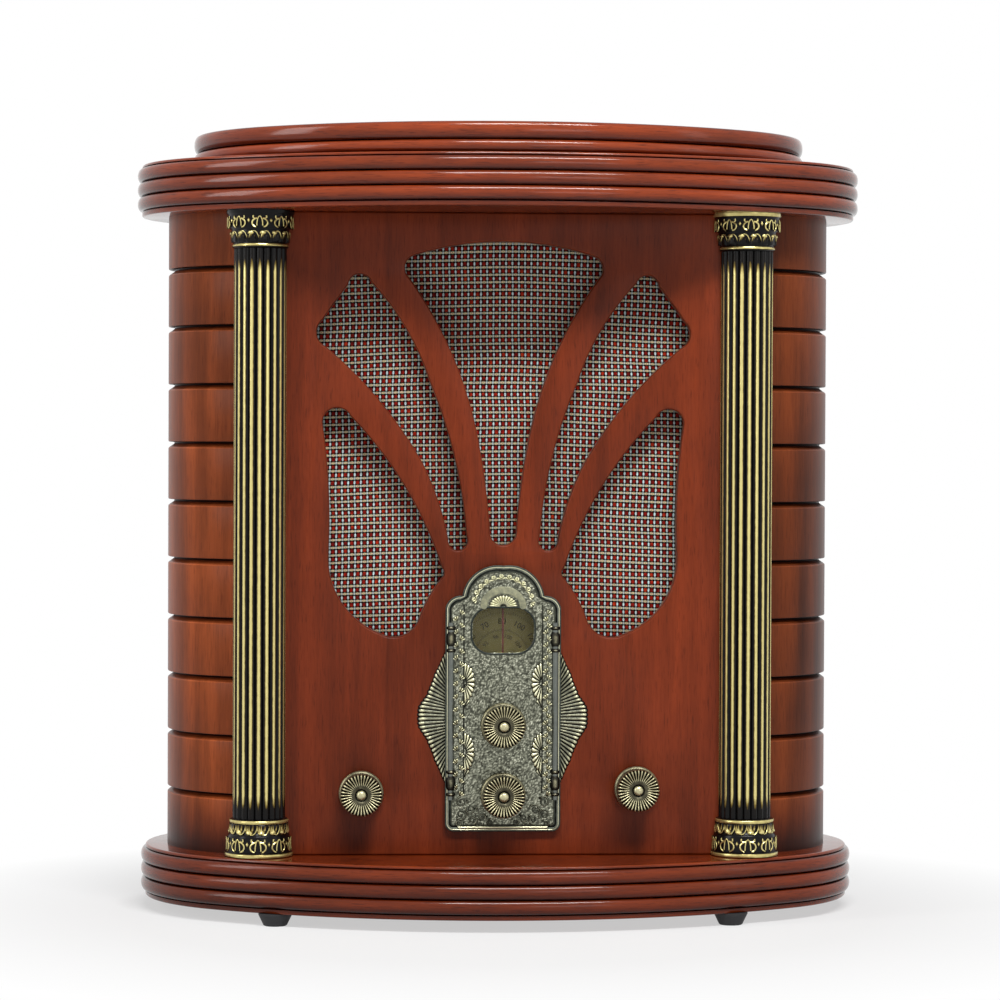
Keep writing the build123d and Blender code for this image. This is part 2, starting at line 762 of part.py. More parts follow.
def funnel(wide, narrow, back):
    """A many-sided block that narrows from the front of the loudspeaker to its throat."""
    front = speaker_front + 0.6
    with BuildPart() as block:
        with BuildSketch(Plane.XZ.offset(-back)):
            with Locations((0, speaker_z)):
                RegularPolygon(wide, cone_sides)
        extrude(amount=back - front)
        chamfer(block.edges().group_by(Axis.Y)[-1], length=back - front - 0.3, length2=wide - narrow)
    return block


with BuildPart() as speaker_cone:
    add(funnel(cone_radius, coil_radius, throat).part)
    add(funnel(cone_radius - paper, coil_radius - paper, throat - 2 * paper).part, mode=Mode.SUBTRACT)
    with BuildSketch(Plane.XZ.offset(-throat - coil_length)):
        with Locations((0, speaker_z)):
            RegularPolygon(coil_radius, cone_sides)
    extrude(amount=coil_length)
speaker_cone.part.label = "speaker_cone"
export_step(speaker_cone.part, "parts/speaker_cone.step")

# Mains transformer and circuit board on the floor of the cabinet
transformer_at = (-66.0, plan_y + 18.0)
core_size = (48.0, 22.0)
core_height = 40.0
winding_size = (30.0, 36.0)
winding_height = 24.0
with BuildPart() as transformer:
    with BuildSketch(Plane.XY.offset(base_top)):
        with Locations(transformer_at):
            Rectangle(*core_size)
    extrude(amount=core_height)
    with BuildSketch(Plane.XY.offset(base_top + (core_height - winding_height) / 2)):
        with Locations(transformer_at):
            Rectangle(*winding_size)
    extrude(amount=winding_height)
transformer.part.label = "transformer"
export_step(transformer.part, "parts/transformer.step")

board_at = (38.0, plan_y + 14.0)
board_size = (110.0, 66.0)
board_rise = 7.0
board_thickness = 1.6
post_radius = 3.0
post_inset = 5.0
component_height = 8.0
with BuildPart() as board_posts:
    with BuildSketch(Plane.XY.offset(base_top)):
        with Locations(board_at):
            with GridLocations(board_size[0] - 2 * post_inset, board_size[1] - 2 * post_inset, 2, 2):
                RegularPolygon(post_radius, 6)
    extrude(amount=board_rise)
board_posts.part.label = "board_posts"
export_step(board_posts.part, "parts/board_posts.step")

with BuildPart() as circuit_board:
    with BuildSketch(Plane.XY.offset(base_top + board_rise)):
        with Locations(board_at):
            Rectangle(*board_size)
    extrude(amount=board_thickness)
    with BuildSketch(Plane.XY.offset(base_top + board_rise + board_thickness)):
        with Locations((20, plan_y + 4), (48, plan_y + 2), (70, plan_y + 30)):
            Rectangle(16, 7)
        with Locations((10, plan_y + 30), (30, plan_y + 32)):
            Rectangle(9, 9)
    extrude(amount=component_height)
circuit_board.part.label = "circuit_board"
export_step(circuit_board.part, "parts/circuit_board.step")
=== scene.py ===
"""Looks of a table radio: an oval wooden cabinet with columns, a fan grille and a cast dial plate."""
import json
import math

import bmesh
import bpy
from mathutils import Matrix, Vector, noise


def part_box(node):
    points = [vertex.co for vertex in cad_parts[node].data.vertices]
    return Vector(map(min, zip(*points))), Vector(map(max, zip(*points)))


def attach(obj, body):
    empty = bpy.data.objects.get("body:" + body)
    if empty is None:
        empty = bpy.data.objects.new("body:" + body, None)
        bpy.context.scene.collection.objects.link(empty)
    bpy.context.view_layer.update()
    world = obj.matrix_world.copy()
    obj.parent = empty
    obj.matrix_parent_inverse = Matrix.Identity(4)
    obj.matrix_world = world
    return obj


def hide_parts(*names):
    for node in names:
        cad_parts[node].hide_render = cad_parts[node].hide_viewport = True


bl_info = {
    "name": "Oval Table Radio",
    "version": (1, 0, 0),
    "blender": (4, 5, 0),
    "location": "View3D > Sidebar > Radio",
    "description": "Builds the visible pieces and finishes of an oval table radio",
    "category": "Object",
}

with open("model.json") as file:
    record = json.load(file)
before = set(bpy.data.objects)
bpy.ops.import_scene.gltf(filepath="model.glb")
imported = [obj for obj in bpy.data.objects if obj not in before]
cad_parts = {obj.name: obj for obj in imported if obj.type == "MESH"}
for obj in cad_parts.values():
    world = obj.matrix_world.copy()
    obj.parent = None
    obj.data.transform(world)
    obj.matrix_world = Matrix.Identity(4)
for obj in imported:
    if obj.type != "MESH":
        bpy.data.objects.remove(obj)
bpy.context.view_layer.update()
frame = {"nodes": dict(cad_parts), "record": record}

MM = 0.001
MERGE = 1e-6  # how close two vertices are merged, in metres
NEAR = 0.01  # how close to a cut a vertex counts as on it, in millimetres
UP = Vector((0, 0, 1))
FORWARD = Vector((0, 1, 0))


def span(node, axis):
    """The lowest and highest value of a CAD node along an axis, in millimetres."""
    low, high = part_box(node)
    return low[axis] / MM, high[axis] / MM


# Sizes that the frame gives, in millimetres
PANEL_FRONT, PANEL_BACK = span("front_panel", 1)
PANEL_EDGE = span("front_panel", 0)[1]
KNOB_FRONT = span("tuning_knob", 1)[0]
SIDE_KNOB_FRONT = span("volume_knob", 1)[0]
DISC_FRONT = span("dial_disc", 1)[0]
DISC_Z = sum(span("dial_disc", 2)) / 2

# The radius of a column's ends, and the axis of the right column
COLUMN_RADIUS = 16.0
COLUMN_X = sum(span("column_right", 0)) / 2
COLUMN_Y = span("column_right", 1)[0] + COLUMN_RADIUS

# The middle of the oval plan, and where its flat back is cut
PLAN_Y = 24.0
BACK_CUT = PLAN_Y + 64.0

# Ovals as half width, half depth and end radius, and the steps of each long arc
ROOF_OVAL = (175.0, 112.0, 82.9)
BASE_OVAL = (172.7, 109.7, 80.8)
TIER_OVAL = (147.8, 109.0, 88.5)
WALL_OVAL = (160.0, 86.0, 57.0)
ARC_STEPS = 56

# Where the knobs sit, as (x, z), and the backs of those on the plate and of those on the panel
CONTROLS = {"tuning": (0.0, 92.3), "tone": (0.0, 59.5), "band": (-66.6, 60.2), "volume": (63.2, 62.3)}
ON_THE_PLATE = ("tuning", "tone")
PLATE_KNOB_BACK = -40.0
PANEL_KNOB_BACK = -37.6
KNOB_RADIUS = 10.6
KNOB_FACE = 9.9

# Depths of the cast plate's ground and of its rims, and the height of its window's middle
PLATE_FRONT = PANEL_FRONT - 2.4
RIM_FRONT = PLATE_FRONT - 1.1
WINDOW_Z = 136.7


def linear(red, green, blue):
    """A colour given as it looks on screen, 0 to 255, as linear light with full alpha."""
    parts = [c / 255 for c in (red, green, blue)]
    return tuple(c / 12.92 if c <= 0.04045 else ((c + 0.055) / 1.055) ** 2.4 for c in parts) + (1.0,)


def toned(colour, share):
    """A darker or lighter kind of a colour."""
    return tuple(min(1.0, c * share) for c in tuple(colour)[:3]) + (1.0,)


def shades(colour, *shares):
    """Several darker and lighter kinds of a colour."""
    return [toned(colour, share) for share in shares]


class NodeTree:
    """A small helper that adds shader nodes and links them."""

    def __init__(self, name):
        self.material = bpy.data.materials.new(name)
        self.material.use_nodes = True
        self.tree = self.material.node_tree
        self.shader = self.tree.nodes["Principled BSDF"]

    def node(self, kind, **values):
        made = self.tree.nodes.new(kind)
        for key, value in values.items():
            setattr(made, key, value)
        return made

    def link(self, source, target):
        self.tree.links.new(source, target)

    def set(self, **values):
        for key, value in values.items():
            self.shader.inputs[key.replace("_", " ")].default_value = value

    def position(self, scale=(1, 1, 1), shift=(0, 0, 0)):
        coordinates = self.node("ShaderNodeTexCoord")
        mapping = self.node("ShaderNodeMapping")
        mapping.inputs["Scale"].default_value = scale
        mapping.inputs["Location"].default_value = shift
        self.link(coordinates.outputs["Object"], mapping.inputs["Vector"])
        return mapping.outputs["Vector"]

    def noise(self, vector, scale, detail=4.0, roughness=0.6, distortion=0.0):
        made = self.node("ShaderNodeTexNoise")
        made.inputs["Scale"].default_value = scale
        made.inputs["Detail"].default_value = detail
        made.inputs["Roughness"].default_value = roughness
        made.inputs["Distortion"].default_value = distortion
        self.link(vector, made.inputs["Vector"])
        return made.outputs["Fac"]

    def ramp(self, value, stops):
        made = self.node("ShaderNodeValToRGB")
        points = made.color_ramp.elements
        while len(points) < len(stops):
            points.new(0.5)
        for point, (place, colour) in zip(points, stops):
            point.position = place
            point.color = colour
        self.link(value, made.inputs["Fac"])
        return made.outputs["Color"]

    def mix(self, factor, first, second, blend="MIX"):
        made = self.node("ShaderNodeMix", data_type="RGBA", blend_type=blend)
        for socket, value in ((made.inputs[0], factor), (made.inputs[6], first), (made.inputs[7], second)):
            if isinstance(value, (tuple, float, int)):
                socket.default_value = value
            else:
                self.link(value, socket)
        return made.outputs[2]

    def math(self, operation, first, second=0.0, third=0.0):
        made = self.node("ShaderNodeMath", operation=operation)
        for socket, value in zip(made.inputs, (first, second, third)):
            if isinstance(value, (float, int)):
                socket.default_value = value
            else:
                self.link(value, socket)
        return made.outputs[0]

    def band(self, value, low, high):
        made = self.node("ShaderNodeMapRange")
        made.inputs["From Min"].default_value = low
        made.inputs["From Max"].default_value = high
        self.link(value, made.inputs["Value"])
        return made.outputs["Result"]

    def parts(self, vector):
        made = self.node("ShaderNodeSeparateXYZ")
        self.link(vector, made.inputs["Vector"])
        return made.outputs

    def attribute(self, name):
        return self.node("ShaderNodeAttribute", attribute_name=name).outputs["Fac"]

    def bump(self, height, strength, distance):
        made = self.node("ShaderNodeBump")
        made.inputs["Strength"].default_value = strength
        made.inputs["Distance"].default_value = distance
        self.link(height, made.inputs["Height"])
        self.link(made.outputs["Normal"], self.shader.inputs["Normal"])

    def colour(self, source):
        self.link(source, self.shader.inputs["Base Color"])

    def roughness(self, value, low, high):
        made = self.node("ShaderNodeMapRange")
        made.inputs["To Min"].default_value = low
        made.inputs["To Max"].default_value = high
        self.link(value, made.inputs["Value"])
        self.link(made.outputs["Result"], self.shader.inputs["Roughness"])


def wood(name, dark, middle, light, along, pores, shine, gloss=0.3, painted_shade_and_highlight=False):
    """Lacquered wood with its grain along an axis, 0 to 2, or round the oval where along is None."""
    made = NodeTree(name)
    stretch = [0.07, 0.07, 1.0] if along is None else [0.07 if i == along else 1.0 for i in range(3)]
    place = made.position(stretch)
    cloud = made.noise(made.position(), 9.0, 3.0, 0.5, 0.6)
    figure = made.noise(place, 70.0, 4.0, 0.6, 0.3)
    fine = made.noise(place, 1000.0, 3.0, 0.65)
    pore = made.noise(made.position([c * (0.8 if c < 1 else 1.0) for c in stretch]), 2200.0, 2.0, 0.5)
    tone = made.math("ADD", made.math("MULTIPLY", figure, 0.6), made.math("MULTIPLY", cloud, 0.4))
    colour = made.ramp(tone, ((0.34, dark), (0.5, middle), (0.66, light)))
    streak = made.ramp(fine, ((0.30, (0.62, 0.55, 0.52, 1)), (0.55, (1.0, 1.0, 1.0, 1)),
                              (0.75, (1.12, 1.1, 1.06, 1))))
    colour = made.mix(pores, colour, made.mix(1.0, colour, streak, "MULTIPLY"))
    dots = made.ramp(pore, ((0.33, (0.30, 0.22, 0.20, 1)), (0.42, (1, 1, 1, 1))))
    colour = made.mix(pores, colour, made.mix(1.0, colour, dots, "MULTIPLY"))
    # Painted shade and highlight: the crest attribute darkens creases, kerfs and the lower halves of beads
    # almost to black, and lights crests up to 1.6 times the wood's colour
    if painted_shade_and_highlight:
        shade = made.ramp(made.attribute("crest"), (
            (0.0, (0.03, 0.018, 0.016, 1)), (0.32, (0.24, 0.18, 0.16, 1)), (0.62, (0.72, 0.64, 0.60, 1)),
            (0.82, (1.05, 1.02, 0.98, 1)), (1.0, (1.60, 1.60, 1.50, 1))))
        colour = made.mix(1.0, colour, shade, "MULTIPLY")
    made.colour(colour)
    made.roughness(fine, shine - 0.04, shine + 0.08)
    made.set(Specular_IOR_Level=gloss)
    made.bump(fine, 0.10, 0.0002)
    return made.material


def metal_shades(made, worn, places, dark, middle, light):
    """Colours a metal from its recesses to its crests, from shades as they look on screen."""
    stops = [(place, linear(*shade)) for place, shade in zip(places, (dark, middle, light))]
    made.colour(made.ramp(worn, stops))
    made.set(Metallic=0.85, Specular_IOR_Level=0.5)


def antique_metal(name, dark, middle, light, low, high, tone=0.34):
    """Cast metal, dark in the recesses and rubbed bright as it stands out from one depth to another."""
    made = NodeTree(name)
    place = made.position()
    grime = made.noise(place, 420.0, 4.0, 0.65)
    height = made.band(made.parts(place)["Y"], low * MM, high * MM)
    worn = made.math("ADD", height, made.math("MULTIPLY", made.math("SUBTRACT", grime, 0.5), 0.5))
    metal_shades(made, worn, (0.10, 0.45, 0.86), dark, middle, light)
    made.roughness(grime, tone - 0.08, tone + 0.14)
    made.bump(grime, 0.25, 0.0003)
    return made.material


def relief_metal(name, dark, middle, light, tone=0.32):
    """Cast metal shaded by the piece's own crest attribute, 0 in the recesses and 1 on the crests."""
    made = NodeTree(name)
    grime = made.noise(made.position(), 500.0, 4.0, 0.65)
    worn = made.math("ADD", made.attribute("crest"),
                     made.math("MULTIPLY", made.math("SUBTRACT", grime, 0.5), 0.35))
    metal_shades(made, worn, (0.12, 0.5, 0.88), dark, middle, light)
    made.roughness(grime, tone - 0.08, tone + 0.12)
    return made.material


def plain(name, colour, roughness, metallic=0.0, grain=300.0):
    """A plain finish with a little variation in tone."""
    made = NodeTree(name)
    cloud = made.noise(made.position(), grain, 4.0, 0.6)
    made.colour(made.ramp(cloud, ((0.35, toned(colour, 0.88)), (0.65, colour))))
    made.roughness(cloud, roughness - 0.05, roughness + 0.05)
    made.set(Metallic=metallic)
    made.bump(cloud, 0.15, 0.0002)
    return made.material


def finish_piece(mesh, name, body, material, sharp, replaced=()):
    """Turns a bmesh or a mesh into a named piece of the radio that rides on a body."""
    if isinstance(mesh, bmesh.types.BMesh):
        bmesh.ops.recalc_face_normals(mesh, faces=mesh.faces)
        made = bpy.data.meshes.new(name)
        mesh.to_mesh(made)
        mesh.free()
        mesh = made
    piece = bpy.data.objects.new(name, mesh)
    bpy.context.scene.collection.objects.link(piece)
    for polygon in mesh.polygons:
        polygon.use_smooth = True
    mesh.set_sharp_from_angle(angle=math.radians(sharp))
    mesh.materials.clear()
    mesh.materials.append(material)
    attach(piece, body)
    if replaced:
        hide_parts(*replaced)
    return piece


def chain(bm, points):
    """An open line of vertices joined by edges, from points in millimetres."""
    verts = [bm.verts.new(Vector(p) * MM) for p in points]
    return verts, [bm.edges.new(pair) for pair in zip(verts, verts[1:])]


def spin(bm, geometry, centre, axis, angle, steps):
    """Spins geometry about an axis through a point in millimetres, and returns the last copy."""
    full = abs(abs(angle) - 2 * math.pi) < 1e-6
    result = bmesh.ops.spin(
        bm, geom=geometry, cent=Vector(centre) * MM, axis=axis, angle=angle, steps=steps,
        use_merge=full, use_normal_flip=False, use_duplicate=False,
    )
    return result["geom_last"]


def turned(points, centre, axis, steps):
    """A closed turned body: points are (radius, height along the axis) from its middle to its middle."""
    bm = bmesh.new()
    side = Vector((1, 0, 0))
    verts, edges = chain(bm, [Vector(centre) + side * r + Vector(axis) * h for r, h in points])
    spin(bm, verts + edges, centre, axis, 2 * math.pi, steps)
    bmesh.ops.remove_doubles(bm, verts=bm.verts, dist=MERGE)
    return bm


def oval_numbers(oval):
    """The turn of an oval's end arc, and the radius of its long side."""
    half_width, half_depth, end_radius = oval
    side_radius = (half_width ** 2 + half_depth ** 2 - 2 * half_width * end_radius) / (
        2 * (half_depth - end_radius)
    )
    return math.atan2(side_radius - half_depth, half_width - end_radius), side_radius


def sweep_plan(bm, oval, section, closed, whole):
    """Sweeps (inset, height, crest) points round an oval, from behind its right end.

    It goes past the left end where the whole oval is wanted, and otherwise just past the right end.
    """
    half_width, half_depth, end_radius = oval
    turn, side_radius = oval_numbers(oval)
    over = math.radians(10)
    crest = bm.verts.layers.float.new("crest")
    verts, edges = chain(bm, [(half_width - inset, PLAN_Y, z) for inset, z, _ in section])
    for vert, (_, _, value) in zip(verts, section):
        vert[crest] = value
    if closed:
        edges.append(bm.edges.new((verts[-1], verts[0])))
    end = Vector((half_width - end_radius, PLAN_Y, 0))
    other_end = Vector((-end.x, PLAN_Y, 0))
    back = Vector((0, PLAN_Y + half_depth - side_radius, 0))
    front = Vector((0, PLAN_Y - half_depth + side_radius, 0))
    bmesh.ops.rotate(bm, verts=verts, cent=end * MM, matrix=Matrix.Rotation(turn, 3, "Z"))
    bmesh.ops.rotate(bm, verts=verts, cent=back * MM, matrix=Matrix.Rotation(over, 3, "Z"))
    path = [(back, over, 6), (end, 2 * turn, ARC_STEPS)]
    if whole:
        path += [(front, math.pi - 2 * turn, ARC_STEPS), (other_end, 2 * turn, ARC_STEPS), (back, over, 6)]
    else:
        path += [(front, over, 12)]
    last = verts + edges
    for centre, angle, steps in path:
        last = spin(bm, last, centre, -UP, angle, steps)
    bmesh.ops.remove_doubles(bm, verts=bm.verts, dist=MERGE)


def keep_side(bm, point, normal):
    """Cuts away what lies beyond a plane and returns the edges of the cut."""
    geometry = bm.verts[:] + bm.edges[:] + bm.faces[:]
    result = bmesh.ops.bisect_plane(
        bm, geom=geometry, plane_co=Vector(point) * MM, plane_no=normal, clear_outer=True
    )
    return [e for e in result["geom_cut"] if isinstance(e, bmesh.types.BMEdge)]


def edge_profile(bottom, top, lip_below, beads, lip_above):
    """Points and crests of a moulded edge: lips, beads and the creases between them."""
    depth, gap, fine = 1.75, 0.45, 10
    # The third number of each point is its crest value, which paints shade and highlight: 0 in the creases,
    # lower on each bead's lower half, highest along its top
    points = [(depth + 1.5, bottom, 0.55)]
    level = bottom + lip_below
    if lip_below > 0:
        points += [(depth + 0.8, bottom + 0.12, 0.6), (depth + 0.4, bottom + 0.6, 0.75),
                   (depth + 0.35, level - 0.45, 0.6), (depth + 0.9, level - 0.15, 0.0)]
    for index, step in enumerate(beads):
        for i in range(fine + 1):
            angle = math.pi * (i / fine - 0.5) * 0.94
            rise = 0.5 + 0.5 * math.sin(angle) / math.sin(math.pi * 0.47)
            points.append((depth * (1 - math.cos(angle)), level + gap / 2 + (step - gap) * rise,
                           max(0.0, math.cos(angle)) ** 0.5 * (0.44 + 0.56 * rise)))
        level += step
        if index < len(beads) - 1:
            points.append((depth + 0.75, level, 0.0))
    if lip_above > 0:
        points += [(depth + 0.9, level + 0.15, 0.0), (depth + 0.4, level + 0.45, 0.6),
                   (depth + 0.5, top - 0.45, 0.85), (depth + 0.9, top - 0.08, 0.85)]
    points.append((depth + 1.6, top, 0.7))
    return points


def moulded_board(oval, bottom, top, lip_below, beads, lip_above):
    """An oval board with beads round its edge, flat at the back, with a crest value on each vertex."""
    bm = bmesh.new()
    sweep_plan(bm, oval, edge_profile(bottom, top, lip_below, beads, lip_above), False, True)
    cut = keep_side(bm, (0, BACK_CUT, 0), FORWARD)
    for level in (bottom, top):
        rim = [e for e in bm.edges if e.is_boundary and e not in cut
               and all(abs(v.co.z / MM - level) < NEAR for v in e.verts)]
        corners = [v for v in {v for e in rim for v in e.verts} if abs(v.co.y / MM - BACK_CUT) < NEAR]
        cut.append(bm.edges.new(corners))
        bmesh.ops.contextual_create(bm, geom=rim + cut[-1:])
    back = bmesh.ops.contextual_create(bm, geom=cut)["faces"]
    bmesh.ops.recalc_face_normals(bm, faces=bm.faces)
    bmesh.ops.inset_region(bm, faces=back, thickness=0.15 * MM, use_even_offset=False)
    crest = bm.verts.layers.float["crest"]
    for vert in {vert for face in back for vert in face.verts}:
        vert[crest] = 0.6
    return bm


def box_mesh(low, high):
    """A closed box between two corners in millimetres."""
    bm = bmesh.new()
    bmesh.ops.create_cube(bm, size=1.0)
    low, high = Vector(low) * MM, Vector(high) * MM
    bmesh.ops.scale(bm, vec=high - low, verts=bm.verts)
    bmesh.ops.translate(bm, vec=(low + high) / 2, verts=bm.verts)
    return bm


def arc_through(a, b, c, count):
    """Points of the circle arc from a to c by way of b, without the last point."""
    ax, ay = a
    bx, by = b
    cx, cy = c
    aa, bb, cc = ax ** 2 + ay ** 2, bx ** 2 + by ** 2, cx ** 2 + cy ** 2
    d = 2 * (ax * (by - cy) + bx * (cy - ay) + cx * (ay - by))
    ux = (aa * (by - cy) + bb * (cy - ay) + cc * (ay - by)) / d
    uy = (aa * (cx - bx) + bb * (ax - cx) + cc * (bx - ax)) / d
    radius = math.hypot(ax - ux, ay - uy)
    start = math.atan2(ay - uy, ax - ux)
    middle = math.atan2(by - uy, bx - ux)
    end = math.atan2(cy - uy, cx - ux)
    full = 2 * math.pi
    sweep = (end - start) % full
    if (middle - start) % full > sweep:
        sweep -= full
    turns = [start + sweep * i / count for i in range(count)]
    return [(ux + radius * math.cos(turn), uy + radius * math.sin(turn)) for turn in turns]


def outline(knots):
    """A closed line through arcs: knots are start, via, start, via and so on, round to the first."""
    points = []
    for i in range(0, len(knots), 2):
        points += arc_through(knots[i], knots[i + 1], knots[(i + 2) % len(knots)], 14)
    return points


def mirrored(points):
    """The same line on the other side of the middle, run backwards."""
    return [(-x, z) for x, z in reversed(points)]


def mesh_of(curve):
    """The mesh that a curve or a text gives, which is then no longer kept itself."""
    carrier = bpy.data.objects.new("carrier", curve)
    bpy.context.scene.collection.objects.link(carrier)
    bpy.context.view_layer.update()
    mesh = bpy.data.meshes.new_from_object(carrier)
    bpy.data.objects.remove(carrier)
    bpy.data.curves.remove(curve)
    return mesh


def flat_mesh(loops, y_front, y_back, rounding, segments):
    """A plate in the XZ plane between two depths, with holes, its edges rounded."""
    curve = bpy.data.curves.new("flat", "CURVE")
    curve.dimensions = "2D"
    curve.fill_mode = "BOTH"
    for loop in loops:
        spline = curve.splines.new("POLY")
        spline.points.add(len(loop) - 1)
        for point, (x, z) in zip(spline.points, loop):
            point.co = (x * MM, z * MM, 0, 1)
        spline.use_cyclic_u = True
    thickness = (y_back - y_front) * MM
    curve.extrude = thickness / 2 - rounding * MM
    curve.bevel_depth = rounding * MM
    curve.bevel_resolution = segments
    curve.offset = -rounding * MM
    mesh = mesh_of(curve)
    stand = Matrix.Translation((0, (y_front + y_back) / 2 * MM, 0)) @ Matrix.Rotation(math.pi / 2, 4, "X")
    mesh.transform(stand)
    bm = bmesh.new()
    bm.from_mesh(mesh)
    bpy.data.meshes.remove(mesh)
    bmesh.ops.remove_doubles(bm, verts=bm.verts, dist=2 * MERGE)
    return bm


# Knots of the openings on the right and of the middle one, as the outline function takes them
FEATHER = [(17.2, 181), (22.8, 217.3), (34.7, 253.3), (47.0, 280.2), (62.5, 300.5), (69.2, 304.2),
           (73.4, 299.3), (79.6, 290.9), (85.6, 282.4), (88.2, 276.4), (84.0, 270.2), (60.0, 246.6),
           (38.0, 215.3), (30.8, 198.0), (25.9, 179.5), (21.4, 174.3)]
LOBE = [(28.6, 165.8), (47.4, 205.9), (72.0, 237.3), (80.8, 240.8), (85.3, 234.5), (82.4, 207.0),
        (82.3, 172.3), (75.4, 148.7), (58.0, 135.1), (46.8, 134.3), (40.2, 140.4), (35.6, 151.2),
        (28.8, 161.4), (27.7, 163.6)]
FAN = [(-42.0, 313.4), (0, 319.9), (42.0, 313.4), (46.4, 309.6), (44.8, 302.8), (27.2, 273.0),
       (13.1, 232.3), (8.9, 208.5), (6.3, 184.3), (0, 176.8), (-6.3, 184.3), (-8.9, 208.5),
       (-13.1, 232.3), (-27.2, 273.0), (-44.8, 302.8), (-46.4, 309.6)]


def openings():
    """The outlines of the grille's five openings."""
    feather, lobe = outline(FEATHER), outline(LOBE)
    return [outline(FAN), feather, mirrored(feather), lobe, mirrored(lobe)]


def round_hole(x, z):
    """The hole for a knob's shaft, as a closed line of points."""
    radius, count = 4, 24
    turns = [2 * math.pi * k / count for k in range(count)]
    return [(x + radius * math.cos(turn), z + radius * math.sin(turn)) for turn in turns]


def rectangle(half_width, low, high):
    """A rectangle about the middle line, as a closed line of points."""
    return [(-half_width, low), (half_width, low), (half_width, high), (-half_width, high)]


def rounded_box(half_width, half_height, corner, centre_z):
    """A rectangle with round corners, as a closed line of points."""
    points, count = [], 10
    for quarter in range(4):
        sx = 1 if quarter in (0, 3) else -1
        sz = 1 if quarter in (0, 1) else -1
        for i in range(count + 1):
            angle = math.pi / 2 * (quarter + i / count)
            points.append((sx * (half_width - corner) + corner * math.cos(angle),
                           centre_z + sz * (half_height - corner) + corner * math.sin(angle)))
    return points


def crested(bm, crest_at):
    """Gives every vertex a crest value by its distance from the Z axis and its height, in millimetres."""
    crest = bm.verts.layers.float.new("crest")
    for vert in bm.verts:
        vert[crest] = crest_at(math.hypot(vert.co.x / MM, vert.co.y / MM), vert.co.z / MM)
    return bm


def tube(bm, points, radius, sides, closed=False):
    """A round rod of one radius, or a radius for each point, along a line of points."""
    points = [Vector(p) for p in points]
    radii = radius if isinstance(radius, (list, tuple)) else [radius] * len(points)
    rings = []
    across = None
    for i, point in enumerate(points):
        before = points[i - 1] if i or closed else point
        after = points[(i + 1) % len(points)] if i < len(points) - 1 or closed else point
        along = (after - before).normalized()
        if across is None:
            across = along.orthogonal().normalized()
        across = (across - along * across.dot(along)).normalized()
        other = along.cross(across)
        ring = []
        for j in range(sides):
            angle = 2 * math.pi * j / sides
            spoke = across * math.cos(angle) + other * math.sin(angle)
            ring.append(bm.verts.new((point + spoke * radii[i]) * MM))
        edges = [bm.edges.new((ring[j], ring[(j + 1) % sides])) for j in range(sides)]
        rings.append((ring, edges))
    pairs = list(zip(rings, rings[1:])) + ([(rings[-1], rings[0])] if closed else [])
    for (_, first), (_, second) in pairs:
        bmesh.ops.bridge_loops(bm, edges=first + second)
    if not closed:
        for ring, _ in (rings[0], rings[-1]):
            bmesh.ops.contextual_create(bm, geom=ring)


# The side walls in millimetres: the step between their kerfs, their thickness and their back edge
KERF_PITCH = 27.7
WALL_THICKNESS = 8.0
WALL_BACK = 80.0


def wall_mesh(kerfs, kerf_height, kerf_depth):
    """The right wall: an upright board with cut kerfs, bent round the end of the oval."""
    bottom, top = span("side_wall_right", 2)
    middle = (bottom + top) / 2
    # The third number is the crest value, which paints shade and highlight: dark up inside each kerf under
    # its upper edge and darker towards the wall's foot, with a bright line on each kerf's lower lip
    section = [(WALL_THICKNESS, bottom, 0.5), (0.0, bottom, 0.2)]
    for i in range(kerfs):
        level = middle + (i - (kerfs - 1) / 2) * KERF_PITCH
        low, high = level - kerf_height / 2, level + kerf_height / 2
        section += [(0.0, low - 0.4, 0.84), (0.16, low + 0.1, 1.0), (0.6, low + 0.5, 0.72),
                    (kerf_depth - 0.4, high - 1.1, 0.55), (kerf_depth, high - 0.7, 0.0),
                    (kerf_depth - 0.3, high - 0.2, 0.0), (0.5, high, 0.2),
                    (0.16, high + 0.12, 0.6), (0.0, high + 0.5, 0.76)]
    section += [(0.0, top, 0.70), (WALL_THICKNESS, top, 0.5)]
    bm = bmesh.new()
    sweep_plan(bm, WALL_OVAL, section, True, False)
    for point, normal in (((0, WALL_BACK, 0), FORWARD), ((0, PANEL_FRONT, 0), -FORWARD),
                          ((PANEL_EDGE, 0, 0), Vector((-1, 0, 0)))):
        bmesh.ops.contextual_create(bm, geom=keep_side(bm, point, normal))
    return bm


def reeded_shaft(reeds, bottom, top, radius, depth, fade):
    """A column shaft with round reeds, its crest value fading out towards both ends."""
    levels = [bottom, bottom + 0.4 * fade, bottom + fade, bottom + 2 * fade,
              top - 2 * fade, top - fade, top - 0.4 * fade, top]
    bm = bmesh.new()
    verts, edges = chain(bm, [(radius, 0, z) for z in levels])
    spin(bm, verts + edges, (0, 0, 0), UP, 2 * math.pi, reeds * 12)
    bmesh.ops.remove_doubles(bm, verts=bm.verts, dist=MERGE)
    crest = bm.verts.layers.float.new("crest")
    for vert in bm.verts:
        wave = abs(math.cos(math.atan2(vert.co.y, vert.co.x) * reeds / 2))
        share = (radius - depth * (1 - wave ** 0.8)) / radius
        level = vert.co.z / MM
        edge = min(level - bottom, top - level)
        vert[crest] = wave ** 2.2 * min(1.0, 0.05 + edge / fade)
        vert.co.x *= share
        vert.co.y *= share
    for level in (bottom, top):
        rim = [e for e in bm.edges if e.is_boundary and abs(e.verts[0].co.z / MM - level) < NEAR]
        bmesh.ops.contextual_create(bm, geom=rim)
    return bm


def join(target, source):
    """Adds one bmesh to another and frees it."""
    carrier = bpy.data.meshes.new("carrier")
    source.to_mesh(carrier)
    source.free()
    target.from_mesh(carrier)
    bpy.data.meshes.remove(carrier)


